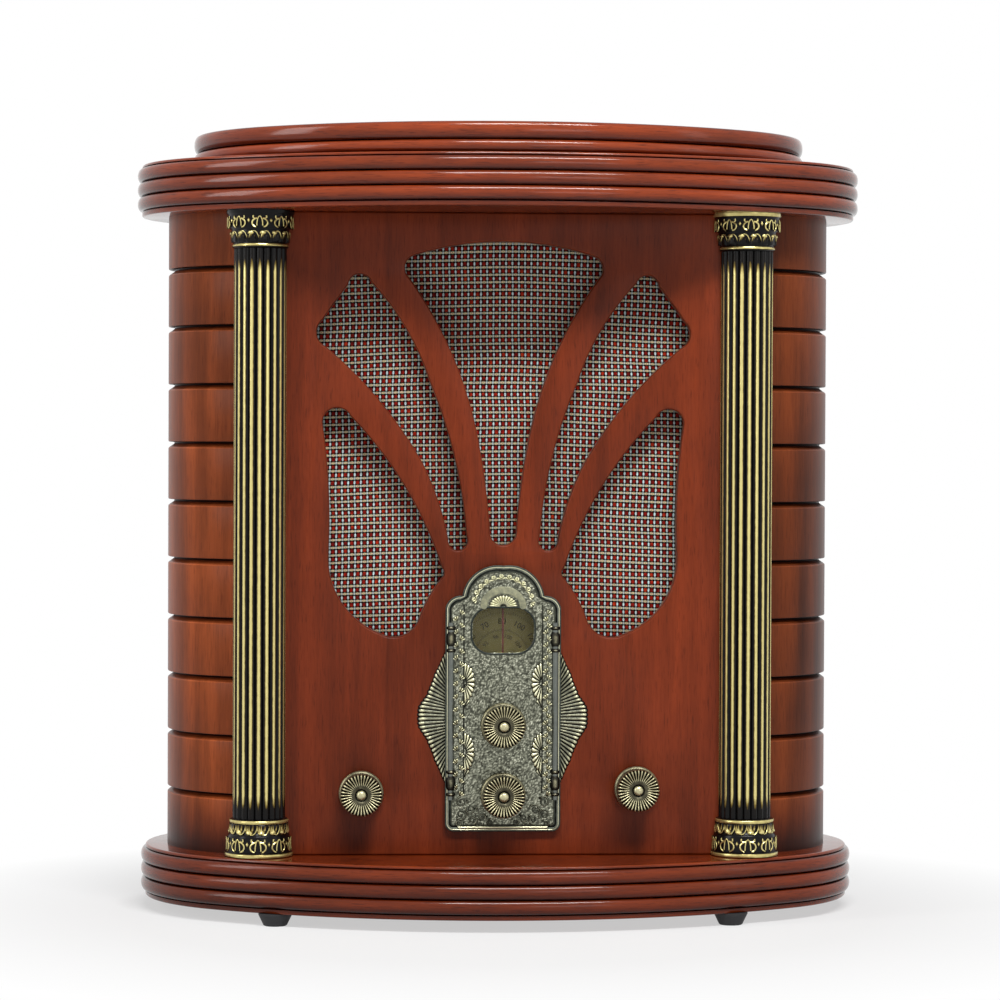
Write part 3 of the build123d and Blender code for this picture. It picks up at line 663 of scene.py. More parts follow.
def shift(bm, x, y, z):
    """Moves a bmesh by millimetres."""
    bmesh.ops.translate(bm, vec=Vector((x, y, z)) * MM, verts=bm.verts)
    return bm


def turn_about(bm, angle, axis):
    """Turns a bmesh about one of the origin's axes."""
    bmesh.ops.rotate(bm, verts=bm.verts, cent=(0, 0, 0), matrix=Matrix.Rotation(angle, 3, axis))


# Points of a column's turned base and capital, as (radius, height)
COLUMN_BASE = (
    (0, 30.7), (15.5, 30.7), (15.95, 31.2), (15.95, 32.5), (15.4, 33.1), (14.9, 33.3), (15.0, 37.0),
    (14.5, 40.6), (14.3, 41.2), (13.7, 41.6), (13.2, 44.0), (13.2, 46.4), (13.7, 46.7), (14.0, 47.4),
    (13.8, 48.1), (13.2, 48.5), (12.2, 48.9), (0, 49.0))
COLUMN_CAPITAL = (
    (0, 315.2), (12.2, 315.4), (13.0, 315.9), (13.3, 316.6), (13.0, 317.3), (12.7, 317.9),
    (13.3, 320.8), (13.9, 323.0), (13.5, 323.8), (13.7, 324.4), (14.6, 325.2), (15.1, 328.0),
    (15.2, 330.8), (15.5, 331.3), (15.9, 331.8), (15.9, 333.3), (0, 333.4))

# Heights between which a column's rings are rubbed bright, the last one on the right column alone
BRIGHT_RINGS = ((31.2, 32.5), (46.9, 48.0), (316.2, 317.0), (331.8, 333.2))

# How many leaves and scrolls go round a capital or a base
LEAVES = 15
SCROLLS = 9


def column_ends(rings):
    """Turned base and capital of a column standing on the origin's axis, bright between pairs of heights."""
    def ring_crest(radius, level):
        bright = radius > 13.0 and any(low - 0.3 < level < high + 0.3 for low, high in rings)
        return 0.82 if bright else 0.0

    ends = bmesh.new()
    for points in (COLUMN_BASE, COLUMN_CAPITAL):
        join(ends, turned(points, (0, 0, 0), UP, 96))
    return crested(ends, ring_crest)


def patch(bm, across, along, place):
    """Lays a closed grid on a surface: place(u, v) gives a point in millimetres, both from 0 to 1."""
    grid = bmesh.ops.create_grid(bm, x_segments=across, y_segments=along, size=0.5)["verts"]
    for vert in grid:
        vert.co = Vector(place(vert.co.x + 0.5, vert.co.y + 0.5)) * MM
    rim = {e for vert in grid for e in vert.link_edges if e.is_boundary}
    bmesh.ops.contextual_create(bm, geom=list(rim))


def leaf_ring(bm, radius, low, high, flip=False):
    """A ring of small pointed leaves round the origin's axis, each with a bead near its tip."""
    half = math.pi / LEAVES * 0.94
    for i in range(LEAVES):
        middle = 2 * math.pi * (i + 0.5) / LEAVES

        def place(u, v):
            across = 2 * u - 1
            width = half * math.sqrt(max(0.0, 1 - v ** 2.4)) + 0.004
            edge = min(u, 1 - u, v, 1 - v) < 0.001
            rib = 0.45 + 0.55 * abs(math.cos(across * math.pi * 1.5)) if v < 0.55 else 0.65
            bead = math.exp(-((v - 0.78) / 0.13) ** 2 - (across / 0.55) ** 2)
            out = -0.4 if edge else rib * (0.4 + 0.3 * v) + 0.75 * bead
            level = high - v * (high - low) if flip else low + v * (high - low)
            turn = middle + across * width
            return (radius + out) * math.cos(turn), (radius + out) * math.sin(turn), level

        patch(bm, 8, 8, place)
        line = []
        for k in range(11):
            angle = math.pi * k / 10
            share = 0.06 + 0.84 * math.sin(angle)
            level = high - share * (high - low) if flip else low + share * (high - low)
            along = radius * (middle + half * 0.92 * math.cos(angle))
            line.append((along, level, 0.1 + 0.55 * share))
        tube(bm, around(line, radius), 0.27, 6)


def around(points, radius):
    """Wraps flat (arc length, height, out) points round the origin's axis, from the front."""
    wrapped = []
    for along, level, out in points:
        angle = -math.pi / 2 + along / radius
        wrapped.append(((radius + out) * math.cos(angle), (radius + out) * math.sin(angle), level))
    return wrapped


def scroll_band(bm, radius, low, high):
    """A band of curled scrolls with diamonds between them, round the origin's axis."""
    pitch = 2 * math.pi * radius / SCROLLS
    middle = (low + high) / 2
    half = (high - low) / 2
    for i in range(SCROLLS):
        centre = pitch * (i + 0.5)
        for side in (-1, 1):
            points = []
            for k in range(19):
                share = k / 18
                angle = math.pi * (2.6 * share - 0.8)
                curl = 0.34 + 0.40 * abs(2 * share - 1) ** 0.6
                reach = half * curl * (0.45 if share in (0.0, 1.0) else 1.0)
                points.append((centre + side * (pitch * 0.27 - 0.62 * reach * math.cos(angle)),
                               middle + half * 1.55 * (share - 0.5) + reach * 0.45 * math.sin(angle), 0.2))
            tube(bm, around(points, radius), 0.42, 6)
        arch = [(centre + pitch * (0.5 + 0.13 * math.cos(math.pi * k / 8)),
                 middle - half * 0.8 + half * 1.4 * math.sin(math.pi * k / 8), 0.2) for k in range(9)]
        tube(bm, around(arch, radius), 0.38, 6)
        stone = bmesh.new()
        bmesh.ops.create_cone(stone, cap_ends=True, segments=4, radius1=1.0, radius2=0.12, depth=0.9)
        bmesh.ops.scale(stone, vec=(pitch * 0.13, half * 0.62, 1.0), verts=stone.verts)
        turn_about(stone, math.pi / 2, "X")
        bmesh.ops.translate(stone, verts=stone.verts, vec=(0, -radius - 0.15, middle))
        turn_about(stone, centre / radius, "Z")
        bmesh.ops.scale(stone, vec=(MM, MM, MM), verts=stone.verts)
        join(bm, stone)


def knob_crest(radius, in_front):
    """How bright the unribbed parts are: the rim disc, the dish, the groove round the dome and the dome."""
    if radius > KNOB_FACE - 0.1:
        return 0.66
    if 3.0 <= radius <= KNOB_FACE - 5:
        return 0.50
    if 2.3 < radius < 3.0:
        return 0.02
    return 1.0 if radius <= 2.3 and in_front else 0.55


def knob_mesh(front, back, ribs):
    """A knob: a plain rim disc at the back, a ribbed dished face in front and a domed centre."""
    rim, face = KNOB_RADIUS, KNOB_FACE
    disc = [(0.0, back, 0.0), (face - 2.0, back, 0.0), (rim - 0.5, back, 0.0), (rim, back - 0.5, 0.0),
            (rim, back - 1.6, 0.0), (rim - 0.4, back - 2.1, 0.0), (face - 0.2, back - 2.4, 0.0),
            (face - 0.35, back - 5.0, 0.0)]
    ribbed = [(face - 0.25, front + 2.2, 0.0), (face, front + 1.3, 0.55), (face - 0.2, front + 0.45, 1.0),
              (face - 0.7, front + 0.05, 1.0), (face - 1.5, front, 1.0), (face - 2.4, front + 0.35, 1.0),
              (face - 3.5, front + 0.75, 0.9), (face - 4.7, front + 1.0, 0.5),
              (face - 5.6, front + 1.15, 0.0)]
    centre = [(3.2, front + 1.35, 0.0), (2.75, front + 1.7, 0.0), (2.5, front + 1.75, 0.0),
              (2.2, front + 1.1, 0.0), (1.8, front + 0.55, 0.0), (1.0, front + 0.2, 0.0),
              (0.0, front + 0.1, 0.0)]
    rows = disc + ribbed + centre
    bm = bmesh.new()
    crest = bm.verts.layers.float.new("crest")
    rib = bm.verts.layers.float.new("rib")
    verts, edges = chain(bm, [(radius, y, 0) for radius, y, _ in rows])
    for index, (vert, (radius, _, strength)) in enumerate(zip(verts, rows)):
        vert[rib] = strength
        vert[crest] = knob_crest(radius, index >= len(disc))
    spin(bm, verts + edges, (0, 0, 0), FORWARD, 2 * math.pi, ribs * 8)
    bmesh.ops.remove_doubles(bm, verts=bm.verts, dist=MERGE)
    for vert in bm.verts:
        strength = vert[rib]
        if strength > 0:
            wave = abs(math.cos(math.atan2(vert.co.z, vert.co.x) * ribs / 2))
            low = 1 - wave ** 0.9
            vert.co.y += 1.15 * strength * low * MM
            share = 1 - 0.55 * strength * low / (math.hypot(vert.co.x, vert.co.z) / MM)
            vert.co.x *= share
            vert.co.z *= share
            vert[crest] = max(0.0, 0.95 - 1.35 * low * min(1.0, strength * 1.3))
    return bm


class RadioSettings(bpy.types.PropertyGroup):
    """Numbers the pieces of the radio are built from."""
    reeds: bpy.props.IntProperty(
        name="Reeds", description="Reeds round each column", default=20, min=8, max=40)
    reed_depth: bpy.props.FloatProperty(
        name="Reed depth", description="Depth of the grooves between reeds",
        default=1.1 * MM, min=0.2 * MM, unit="LENGTH")
    kerfs: bpy.props.IntProperty(
        name="Kerfs", description="Grooves round the side walls", default=10, min=1)
    kerf_height: bpy.props.FloatProperty(
        name="Kerf height", description="Height of each groove in the walls",
        default=3.0 * MM, min=0.5 * MM, unit="LENGTH")
    kerf_depth: bpy.props.FloatProperty(
        name="Kerf depth", description="Depth of each groove in the walls",
        default=3.0 * MM, min=0.5 * MM, unit="LENGTH")
    knob_ribs: bpy.props.IntProperty(
        name="Knob ribs", description="Ribs round each knob", default=36, min=12)
    thread_pitch: bpy.props.FloatProperty(
        name="Thread pitch", description="Width of one cell of the cloth's weave",
        default=2.95 * MM, min=1.0 * MM, unit="LENGTH")


class RadioFinishes(bpy.types.PropertyGroup):
    """Colours of the radio's finishes."""
    panel_tone: bpy.props.FloatVectorProperty(
        name="Panel", description="Middle tone of the front panel", subtype="COLOR", size=4,
        default=linear(113, 45, 20), min=0, max=1)
    moulding_tone: bpy.props.FloatVectorProperty(
        name="Mouldings", description="Middle tone of the moulded boards", subtype="COLOR", size=4,
        default=linear(134, 53, 17), min=0, max=1)
    wall_tone: bpy.props.FloatVectorProperty(
        name="Walls", description="Middle tone of the side walls", subtype="COLOR", size=4,
        default=linear(128, 62, 30), min=0, max=1)


class RADIO_OT_boards(bpy.types.Operator):
    """Build the moulded base, the top board and the tier on it"""
    bl_idname = "radio.boards"
    bl_label = "Boards"

    def execute(self, context):
        tone = context.scene.radio_finishes.moulding_tone
        beaded, stepped = (2.6, [6.85] * 3, 1.65), (0, [5.8, 8.3], 0)
        # The base's copy of the moulding finish is painted darker, as shade, and the tier's copy lighter, as
        # if lit
        low = wood("moulding_painted_dark", *shades(tone, 0.36, 0.72, 1.15), None,
                   pores=0.55, shine=0.12, gloss=0.26, painted_shade_and_highlight=True)
        middle = wood("moulding", *shades(tone, 0.45, 1.0, 1.6), None,
                      pores=0.55, shine=0.10, gloss=0.32, painted_shade_and_highlight=True)
        high = wood("moulding_painted_light", *shades(tone, 0.55, 1.2, 1.9), None,
                    pores=0.55, shine=0.10, gloss=0.32, painted_shade_and_highlight=True)
        for name, node, oval, edge, finish in (("base_moulded", "base_plinth", BASE_OVAL, beaded, low),
                                               ("top_moulded", "top_board", ROOF_OVAL, beaded, middle),
                                               ("tier_moulded", "top_tier", TIER_OVAL, stepped, high)):
            board = moulded_board(oval, *span(node, 2), *edge)
            finish_piece(board, name, "cabinet", finish, 50, [node])
        return {"FINISHED"}


class RADIO_OT_walls(bpy.types.Operator):
    """Build the two bent side walls with their grooves"""
    bl_idname = "radio.walls"
    bl_label = "Side walls"

    def execute(self, context):
        settings = context.scene.radio_settings
        tone = context.scene.radio_finishes.wall_tone
        # The right wall's copy of the veneer is painted darker than the left wall's, as shade
        for side, word, finish, shares in ((1, "right", "wall_veneer_dim", (0.24, 0.56, 0.98)),
                                           (-1, "left", "wall_veneer", (0.40, 1.0, 1.75))):
            made = wood(finish, *shades(tone, *shares), 2, pores=0.40, shine=0.32, gloss=0.12, painted_shade_and_highlight=True)
            wall = wall_mesh(settings.kerfs, settings.kerf_height / MM, settings.kerf_depth / MM)
            bmesh.ops.scale(wall, vec=(side, 1, 1), verts=wall.verts)
            finish_piece(wall, f"wall_{word}", "cabinet", made, 35, [f"side_wall_{word}"])
        return {"FINISHED"}


class RADIO_OT_columns(bpy.types.Operator):
    """Build the two reeded columns with their capitals and bases"""
    bl_idname = "radio.columns"
    bl_label = "Columns"

    def execute(self, context):
        settings = context.scene.radio_settings
        finish = relief_lacquer("column_gilding")
        for side, word, rings in ((1, "right", BRIGHT_RINGS), (-1, "left", BRIGHT_RINGS[:-1])):
            shaft = reeded_shaft(settings.reeds, bottom=48.6, top=315.4, radius=12.3,
                                 depth=settings.reed_depth / MM, fade=11.0)
            for bm, name, sharp, replaced in ((shaft, "shaft", 60, [f"column_{word}"]),
                                              (column_ends(rings), "capital_and_base", 50, []),
                                              (column_ornament(), "column_ornament", 50, [])):
                shift(bm, side * COLUMN_X, COLUMN_Y, 0)
                finish_piece(bm, f"{name}_{word}", "cabinet", finish, sharp, replaced)
        return {"FINISHED"}


def column_ornament():
    """The leaves and scrolls of a column's capital and base, round the origin's axis."""
    ornament = bmesh.new()
    leaf_ring(ornament, radius=13.3, low=318.1, high=323.9)
    leaf_ring(ornament, radius=13.4, low=41.2, high=46.8, flip=True)
    scroll_band(ornament, radius=15.05, low=324.9, high=331.3)
    scroll_band(ornament, radius=14.75, low=33.6, high=41.0)
    return crested(ornament, ornament_crest)


def ornament_crest(radius, level):
    """How much gold is rubbed on the ornament at a distance from its column's axis."""
    if 317.5 < level < 324.3 or 41.1 < level < 46.9:
        ground = 13.62
    else:
        ground = 15.2 if level > 100 else 14.9
    return max(0.0, min(1.0, (radius - ground) / 0.36))


def relief_lacquer(name):
    """Black lacquer with gold rubbed on the crests."""
    made = NodeTree(name)
    grime = made.noise(made.position(), 350.0, 4.0, 0.6)
    worn = made.math("ADD", made.attribute("crest"),
                     made.math("MULTIPLY", made.math("SUBTRACT", grime, 0.5), 0.30))
    made.colour(made.ramp(worn, ((0.0, linear(7, 6, 6)), (0.48, linear(16, 12, 8)),
                                 (0.64, linear(128, 108, 50)), (0.88, linear(222, 208, 140)))))
    metal = made.band(worn, 0.5, 0.75)
    made.link(made.math("MULTIPLY", metal, 0.7), made.shader.inputs["Metallic"])
    made.set(Specular_IOR_Level=0.16)
    made.roughness(grime, 0.16, 0.30)
    return made.material


class RADIO_OT_panel(bpy.types.Operator):
    """Build the front panel with its fan of five openings"""
    bl_idname = "radio.panel"
    bl_label = "Front panel"

    def execute(self, context):
        tone = context.scene.radio_finishes.panel_tone
        finish = wood("panel_veneer", *shades(tone, 0.52, 1.0, 1.5), 2, pores=0.48, shine=0.30, gloss=0.14)
        edge = rectangle(PANEL_EDGE, *span("front_panel", 2))
        window = rectangle(15.1, WINDOW_Z - 11.0, WINDOW_Z + 11.0)
        holes = [round_hole(x, z) for x, z in CONTROLS.values()]
        panel = flat_mesh([edge, window] + holes + openings(), PANEL_FRONT, PANEL_BACK, 1.0, 3)
        finish_piece(panel, "panel_fan", "cabinet", finish, 40, ["front_panel"])
        return {"FINISHED"}


class RADIO_OT_cloth(bpy.types.Operator):
    """Build the woven grille cloth stretched behind the openings"""
    bl_idname = "radio.cloth"
    bl_label = "Grille cloth"

    def execute(self, context):
        low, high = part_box("grille_cloth")
        cloth = cloth_mesh(low, high, context.scene.radio_settings.thread_pitch)
        made = weave("cloth_weave")
        piece = finish_piece(cloth, "cloth_woven", "cabinet", made, 180, ["grille_cloth"])
        return {"FINISHED"}


def cloth_mesh(low, high, pitch):
    """A woven sheet between two corners, without what lies behind the plate. Lengths are in metres.

    One cell of the weave is a pitch wide and a little more high, and its rows sag towards the sides.
    """
    width, height = high.x - low.x, high.z - low.z
    columns, rows = round(width / pitch), round(height / (pitch * 1.245))
    bm = bmesh.new()
    bmesh.ops.create_grid(bm, x_segments=columns * 4, y_segments=rows * 6, size=0.5)
    across = bm.verts.layers.float.new("across")
    level = bm.verts.layers.float.new("level")
    for vert in bm.verts:
        u, v = (vert.co.x + 0.5) * columns, (vert.co.y + 0.5) * rows
        vert[across], vert[level] = u, v
        x, z = vert.co.x * width, vert.co.y * height + (low.z + high.z) / 2
        wander = noise.noise(Vector((x, 3.0 * z, 0)) * 22.0)
        sag = 0.045 * (math.hypot(x, 0.03) - 0.03)
        y = low.y + 0.0006 - 0.0005 * thread_rise(u % 1.0, v % 1.0)
        vert.co = Vector((x + 0.0006 * wander, y, z + 0.0007 * wander - sag))
    lost = []
    for face in bm.faces:
        middle = face.calc_center_median()
        if middle.z < low.z or (abs(middle.x) < 30 * MM and middle.z < 155 * MM):
            lost.append(face)
    bmesh.ops.delete(bm, geom=lost, context="FACES")
    return bm


def thread_rise(fx, fz):
    """How far the weave stands out in one cell, 0 in the gaps: a crosswise thread under a row of dots."""
    thread = max(0.0, 1 - ((fz - 0.2) / 0.2) ** 2) * (0.75 + 0.25 * math.cos(4 * math.pi * fx))
    dot = max(0.0, 1 - ((fx - 0.5) / 0.22) ** 2 - ((fz - 0.68) / 0.34) ** 2)
    square = 0.5 * max(0.0, 1 - (min(fx, 1 - fx) / 0.3) ** 4 - ((fz - 0.68) / 0.3) ** 4)
    return max(thread, dot, square) ** 0.6


def weave(name):
    """Basket weave: cream crosswise threads, rows of dark red squares and pale blue dots, black gaps."""
    made = NodeTree(name)
    fx = made.math("FRACT", made.attribute("across"))
    fz = made.math("FRACT", made.attribute("level"))
    grain = made.noise(made.position(), 1500.0, 3.0, 0.6)
    cloud = made.noise(made.position(), 260.0, 3.0, 0.6)

    def away(value, middle, reach):
        return made.math("ABSOLUTE", made.math("DIVIDE", made.math("SUBTRACT", value, middle), reach))

    def inside(first, second, power):
        total = made.math("ADD", made.math("POWER", first, power), made.math("POWER", second, power))
        return made.band(total, 1.25, 0.75)

    row = away(fz, 0.68, 0.235)
    middling = made.math("ABSOLUTE", made.math("SUBTRACT", fx, 0.5))
    side = made.math("DIVIDE", made.math("SUBTRACT", 0.5, middling), 0.24)
    square = inside(side, row, 3.0)
    dot = inside(away(fx, 0.5, 0.15), row, 2.0)
    wave = made.math("COSINE", made.math("MULTIPLY", fx, 4 * math.pi))
    swell = made.math("ADD", 0.135, made.math("MULTIPLY", wave, 0.03))
    thread = inside(away(fz, 0.2, swell), 0.0, 2.0)
    red = made.ramp(cloud, ((0.35, linear(92, 10, 6)), (0.55, linear(146, 22, 10)),
                            (0.70, linear(196, 56, 20))))
    bead = made.ramp(middling, ((0.08, linear(176, 200, 204)), (0.17, linear(150, 134, 104)),
                                (0.3, linear(232, 212, 168)), (0.46, linear(196, 178, 142))))
    colour = made.mix(square, linear(10, 3, 3), red)
    colour = made.mix(thread, colour, bead)
    colour = made.mix(dot, colour, linear(204, 222, 226))
    shade = made.ramp(grain, ((0.34, (0.42, 0.40, 0.39, 1)), (0.6, (1.1, 1.1, 1.1, 1))))
    made.colour(made.mix(0.8, colour, made.mix(1.0, colour, shade, "MULTIPLY")))
    made.set(Roughness=0.85, Specular_IOR_Level=0.15)
    return made.material


def plate_outline(inset=0.0):
    """The cast plate's outline: round lower corners, shoulders and an arched head."""
    half, bottom, corner = 27.2 - inset, 42.1 + inset, 4.0 - min(inset, 3.0)
    crown, count = (0, 167.3), 12
    points = []
    for i in range(count + 1):
        angle = math.pi / 2 * (i / count - 1)
        points.append((half - corner + corner * math.cos(angle), bottom + corner + corner * math.sin(angle)))
    right = arc_through((27.2, 147.5), (24.6, 151.6), (19.3, 153.1), count)
    right += arc_through((19.3, 153.1), (13.4, 163.6), crown, count * 2)
    for (x, z), (nx, nz) in zip(right, right[1:] + [crown]):
        length = math.hypot(nx - x, nz - z) or 1.0
        points.append((x - inset * (nz - z) / length, z + inset * (nx - x) / length))
    points.append((0, crown[1] - inset))
    return points + mirrored(points[:-1])


def ribbed_fan(bm, centre, radius, start, sweep, ribs, base, height, tall=1.0):
    """A scallop of ribs fanning out from a point on a plate, each rib domed and ending in a round tip."""
    def place(u, v):
        wave = abs(math.sin(math.pi * u * ribs))
        row = 0.10 + 0.90 * v ** 0.8
        reach = radius * row * (1 - 0.07 * (1 - wave ** 0.5) * (v > 0.7))
        dome = math.sqrt(max(0.0, 1 - ((v - 0.72) / 0.30) ** 2)) if v > 0.72 else 0.5 + 0.5 * v / 0.72
        edge = min(u, 1 - u, v, 1 - v) < 0.001
        out = -0.15 if edge else height * dome * (0.22 + 0.78 * wave ** 0.7)
        angle = start + sweep * u
        return centre[0] + reach * math.cos(angle), base - out, centre[1] + tall * reach * math.sin(angle)

    patch(bm, ribs * 6, 7, place)


# Places and sizes of the curls in the plate's lower corners, on the right, and a curl's steps and turns
CORNER_CURLS = ((19.4, 56.2, 2.5), (15.2, 52.6, 2.4), (19.6, 50.2, 2.7), (14.3, 47.7, 2.2),
                (9.9, 48.6, 2.0), (6.2, 46.6, 1.5), (20.6, 45.9, 1.4), (11.0, 45.4, 1.1))
CURL_STEPS = 26
CURL_TURNS = 1.45

# The rods beside the plate, and the profile of a knuckle on them as (radius, height)
ROD_X = 24.6
KNUCKLE = ((0.0, 0.0), (1.5, 0.0), (2.1, 0.3), (2.4, 1.0), (2.1, 1.7), (1.4, 2.2), (1.9, 3.2), (2.4, 4.8),
           (2.4, 7.8), (1.9, 9.4), (1.4, 10.4), (2.1, 10.9), (2.4, 11.6), (2.1, 12.3), (1.5, 12.6),
           (0.0, 12.6))


def within(x, z, loop):
    """Whether a point lies inside a closed line of points."""
    inside = False
    for (ax, az), (bx, bz) in zip(loop, loop[1:] + loop[:1]):
        if (az > z) != (bz > z) and x < (bx - ax) * (z - az) / (bz - az) + ax:
            inside = not inside
    return inside


def stippled_ground(edge, window, holes):
    """The plate's sunk ground: a thin sheet covered in small cast grains."""
    width, height, middle, grains = 51.0, 120.0, 104.5, 1.25
    bm = bmesh.new()
    bmesh.ops.create_grid(bm, x_segments=110, y_segments=258, size=0.5)
    crest = bm.verts.layers.float.new("crest")
    for vert in bm.verts:
        x, z = vert.co.x * width, middle + vert.co.y * height
        near = noise.voronoi(Vector((x * grains, z * grains, 3.0)))[0][0]
        grain = max(0.0, 1.0 - near / 0.62)
        vert[crest] = 0.20 + 0.80 * grain
        vert.co = Vector((x, PLATE_FRONT - 0.12 - 0.34 * grain, z)) * MM
    lost = [f for f in bm.faces if not keeps_ground(f.calc_center_median() / MM, edge, window, holes)]
    bmesh.ops.delete(bm, geom=lost, context="FACES")
    bmesh.ops.solidify(bm, geom=bm.faces[:], thickness=0.3 * MM)
    return bm


def keeps_ground(place, edge, window, holes):
    """Whether a point in millimetres is on the plate and in none of its openings."""
    spot = (place.x, place.z)
    return within(*spot, edge) and not any(within(*spot, hole) for hole in [window] + holes)


def wing_mesh():
    """The right wing: ribs that fan out sideways from the rod and end in bright round tips."""
    border = arc_through((26.0, 129.1), (31.9, 117.5), (36.2, 106.4), 24)
    border += arc_through((36.2, 106.4), (39.6, 101.8), (40.9, 96.0), 12)
    border += arc_through((40.9, 96.0), (39.6, 90.0), (36.2, 85.2), 12)
    border += arc_through((36.2, 85.2), (31.7, 73.8), (26.0, 61.9), 24) + [(26.0, 61.9)]
    ribs = 34
    bm = bmesh.new()

    def place(u, v):
        spot = u * (len(border) - 1)
        i = min(int(spot), len(border) - 2)
        x = border[i][0] + (border[i + 1][0] - border[i][0]) * (spot - i)
        z = border[i][1] + (border[i + 1][1] - border[i][1]) * (spot - i)
        wave = abs(math.sin(math.pi * u * ribs))
        lobe = 1 - 0.03 * abs(math.cos(math.pi * u * 8))
        reach = v * lobe * (1 - 0.035 * (1 - wave ** 0.5) * (v > 0.85))
        root = (25.2, 95.5 + (z - 95.5) * 0.62)
        tip = math.exp(-((v - 0.88) / 0.07) ** 2)
        edge = min(u, 1 - u, v, 1 - v) < 0.001
        out = 0.0 if edge else 0.35 + 0.80 * wave ** 0.6 * (0.72 + 0.45 * tip)
        return root[0] + (x - root[0]) * reach, PANEL_FRONT - out, root[1] + (z - root[1]) * reach

    patch(bm, ribs * 6, 12, place)
    return bm


def spiral(centre, size, start, side, y):
    """Points of a flat spiral that curls inwards."""
    points = []
    for k in range(CURL_STEPS + 1):
        share = k / CURL_STEPS
        angle = start + side * 2 * math.pi * CURL_TURNS * share
        reach = size * (1 - 0.82 * share)
        points.append((centre[0] + reach * math.cos(angle), y, centre[1] + reach * math.sin(angle)))
    return points


def plate_rims(window):
    """Three raised rims round the plate and a frame round its window."""
    rims = bmesh.new()
    for outer, inner, front in ((0.0, 0.9, RIM_FRONT + 0.25), (0.8, 1.9, RIM_FRONT),
                                (2.3, 3.4, RIM_FRONT + 0.6)):
        join(rims, flat_mesh([plate_outline(outer), plate_outline(inner)], front, PLATE_FRONT + 0.5, 0.25, 2))
    border = [rounded_box(15.5, 11.45, 9.4, WINDOW_Z), window]
    join(rims, flat_mesh(border, PLATE_FRONT - 0.6, PLATE_FRONT + 0.4, 0.2, 2))
    return rims


def plate_shells():
    """A shell in the arch, and beside the knob two half shells a side, each with a small tail."""
    shells = bmesh.new()
    near, up = PLATE_FRONT - 0.1, math.pi / 2
    ribbed_fan(shells, (0, 148.0), 6.9, 0.0, math.pi, 13, PLATE_FRONT - 0.5, 1.2, tall=0.82)
    for side in (-1, 1):
        for level in (112.4, 79.5):
            ribbed_fan(shells, (side * 18.4, level), 5.4, side * up, math.pi, 10, near, 1.35, tall=1.8)
            tail = up + 0.1 if side > 0 else up - 0.75
            ribbed_fan(shells, (side * 18.6, level - 12.6), 5.2, tail, 0.65, 2, near, 1.0)
    return shells


def plate_scrolls():
    """Thin raised lines along the rims, the leaves and the foot, and curls in the lower corners."""
    lines = bmesh.new()
    for inset, front in ((0.95, RIM_FRONT + 0.05), (3.1, RIM_FRONT + 0.5)):
        tube(lines, [(x, front, z) for x, z in plate_outline(inset)], 0.2, 6, closed=True)
    for side in (-1, 1):
        tube(lines, [(side * 18.5, PLATE_FRONT - 0.2, z) for z in (60.0, 149.0)], 0.38, 8)
        for k, (x, z, size) in enumerate(CORNER_CURLS):
            curl = spiral((side * x, z), size, math.pi * (0.5 + 0.37 * k), -side, PLATE_FRONT - 0.3)
            tube(lines, curl, [0.55 - 0.22 * i / CURL_STEPS for i in range(CURL_STEPS + 1)], 7)
    tube(lines, [(x, RIM_FRONT + 0.1, 44.1) for x in (-21.0, 21.0)], 0.5, 8)
    return lines


def plate_leaves():
    """A garland of small leaves round the arch and down both sides, and a leaf on each corner curl."""
    leaves = bmesh.new()
    near = PLATE_FRONT - 0.1
    for k in range(23):
        angle = math.pi * (0.03 + 0.94 * k / 22)
        centre = (12.3 * math.cos(angle), 149.4 + 11.2 * math.sin(angle))
        ribbed_fan(leaves, centre, 3.1, angle + (0.75 if k % 2 else -0.75) - 0.75, 1.5, 3, near, 1.5)
    for side in (-1, 1):
        for k in range(29):
            lean = 0.65 if k % 2 else -0.65
            centre = (side * (20.9 + 0.5 * lean), 58.5 + 3.05 * k)
            ribbed_fan(leaves, centre, 3.0, math.pi / 2 + lean - 0.75, 1.5, 3, near, 1.5)
        for x, z, size in CORNER_CURLS:
            ribbed_fan(leaves, (side * (x - 1.6), z + 0.6), size * 0.8, 1.0 * side, 1.4, 3, near, 0.8)
    return leaves


def arch_band():
    """The outline of the raised band over the window: two bows joined by round ends."""
    foot = 148.4

    def bow(reach, rise):
        turns = [math.pi * k / 30 for k in range(31)]
        return [(reach * math.cos(turn), foot + rise * math.sin(turn)) for turn in turns]

    def end(x):
        turns = [math.pi * (1 + k / 8) for k in range(1, 8)]
        return [(x + 1.7 * math.cos(turn), foot + 1.7 * math.sin(turn)) for turn in turns]

    return bow(10.9, 9.2) + end(-9.2) + bow(-7.5, 5.6) + end(9.2)


def rods_and_knuckles():
    """The two rods beside the plate, and the two knuckles on each."""
    rods, knuckles = bmesh.new(), bmesh.new()
    for x in (-ROD_X, ROD_X):
        tube(rods, [(x, PLATE_FRONT - 0.4, z) for z in (57.0, 140.5)], 1.6, 14)
        for low in (58.6, 126.4):
            join(knuckles, turned(KNUCKLE, (x, PLATE_FRONT - 0.2, low), UP, 24))
    return rods, knuckles


def both_wings():
    """The right wing and its mirror image."""
    wings, other = wing_mesh(), wing_mesh()
    bmesh.ops.scale(other, vec=(-1, 1, 1), verts=other.verts)
    join(wings, other)
    return wings


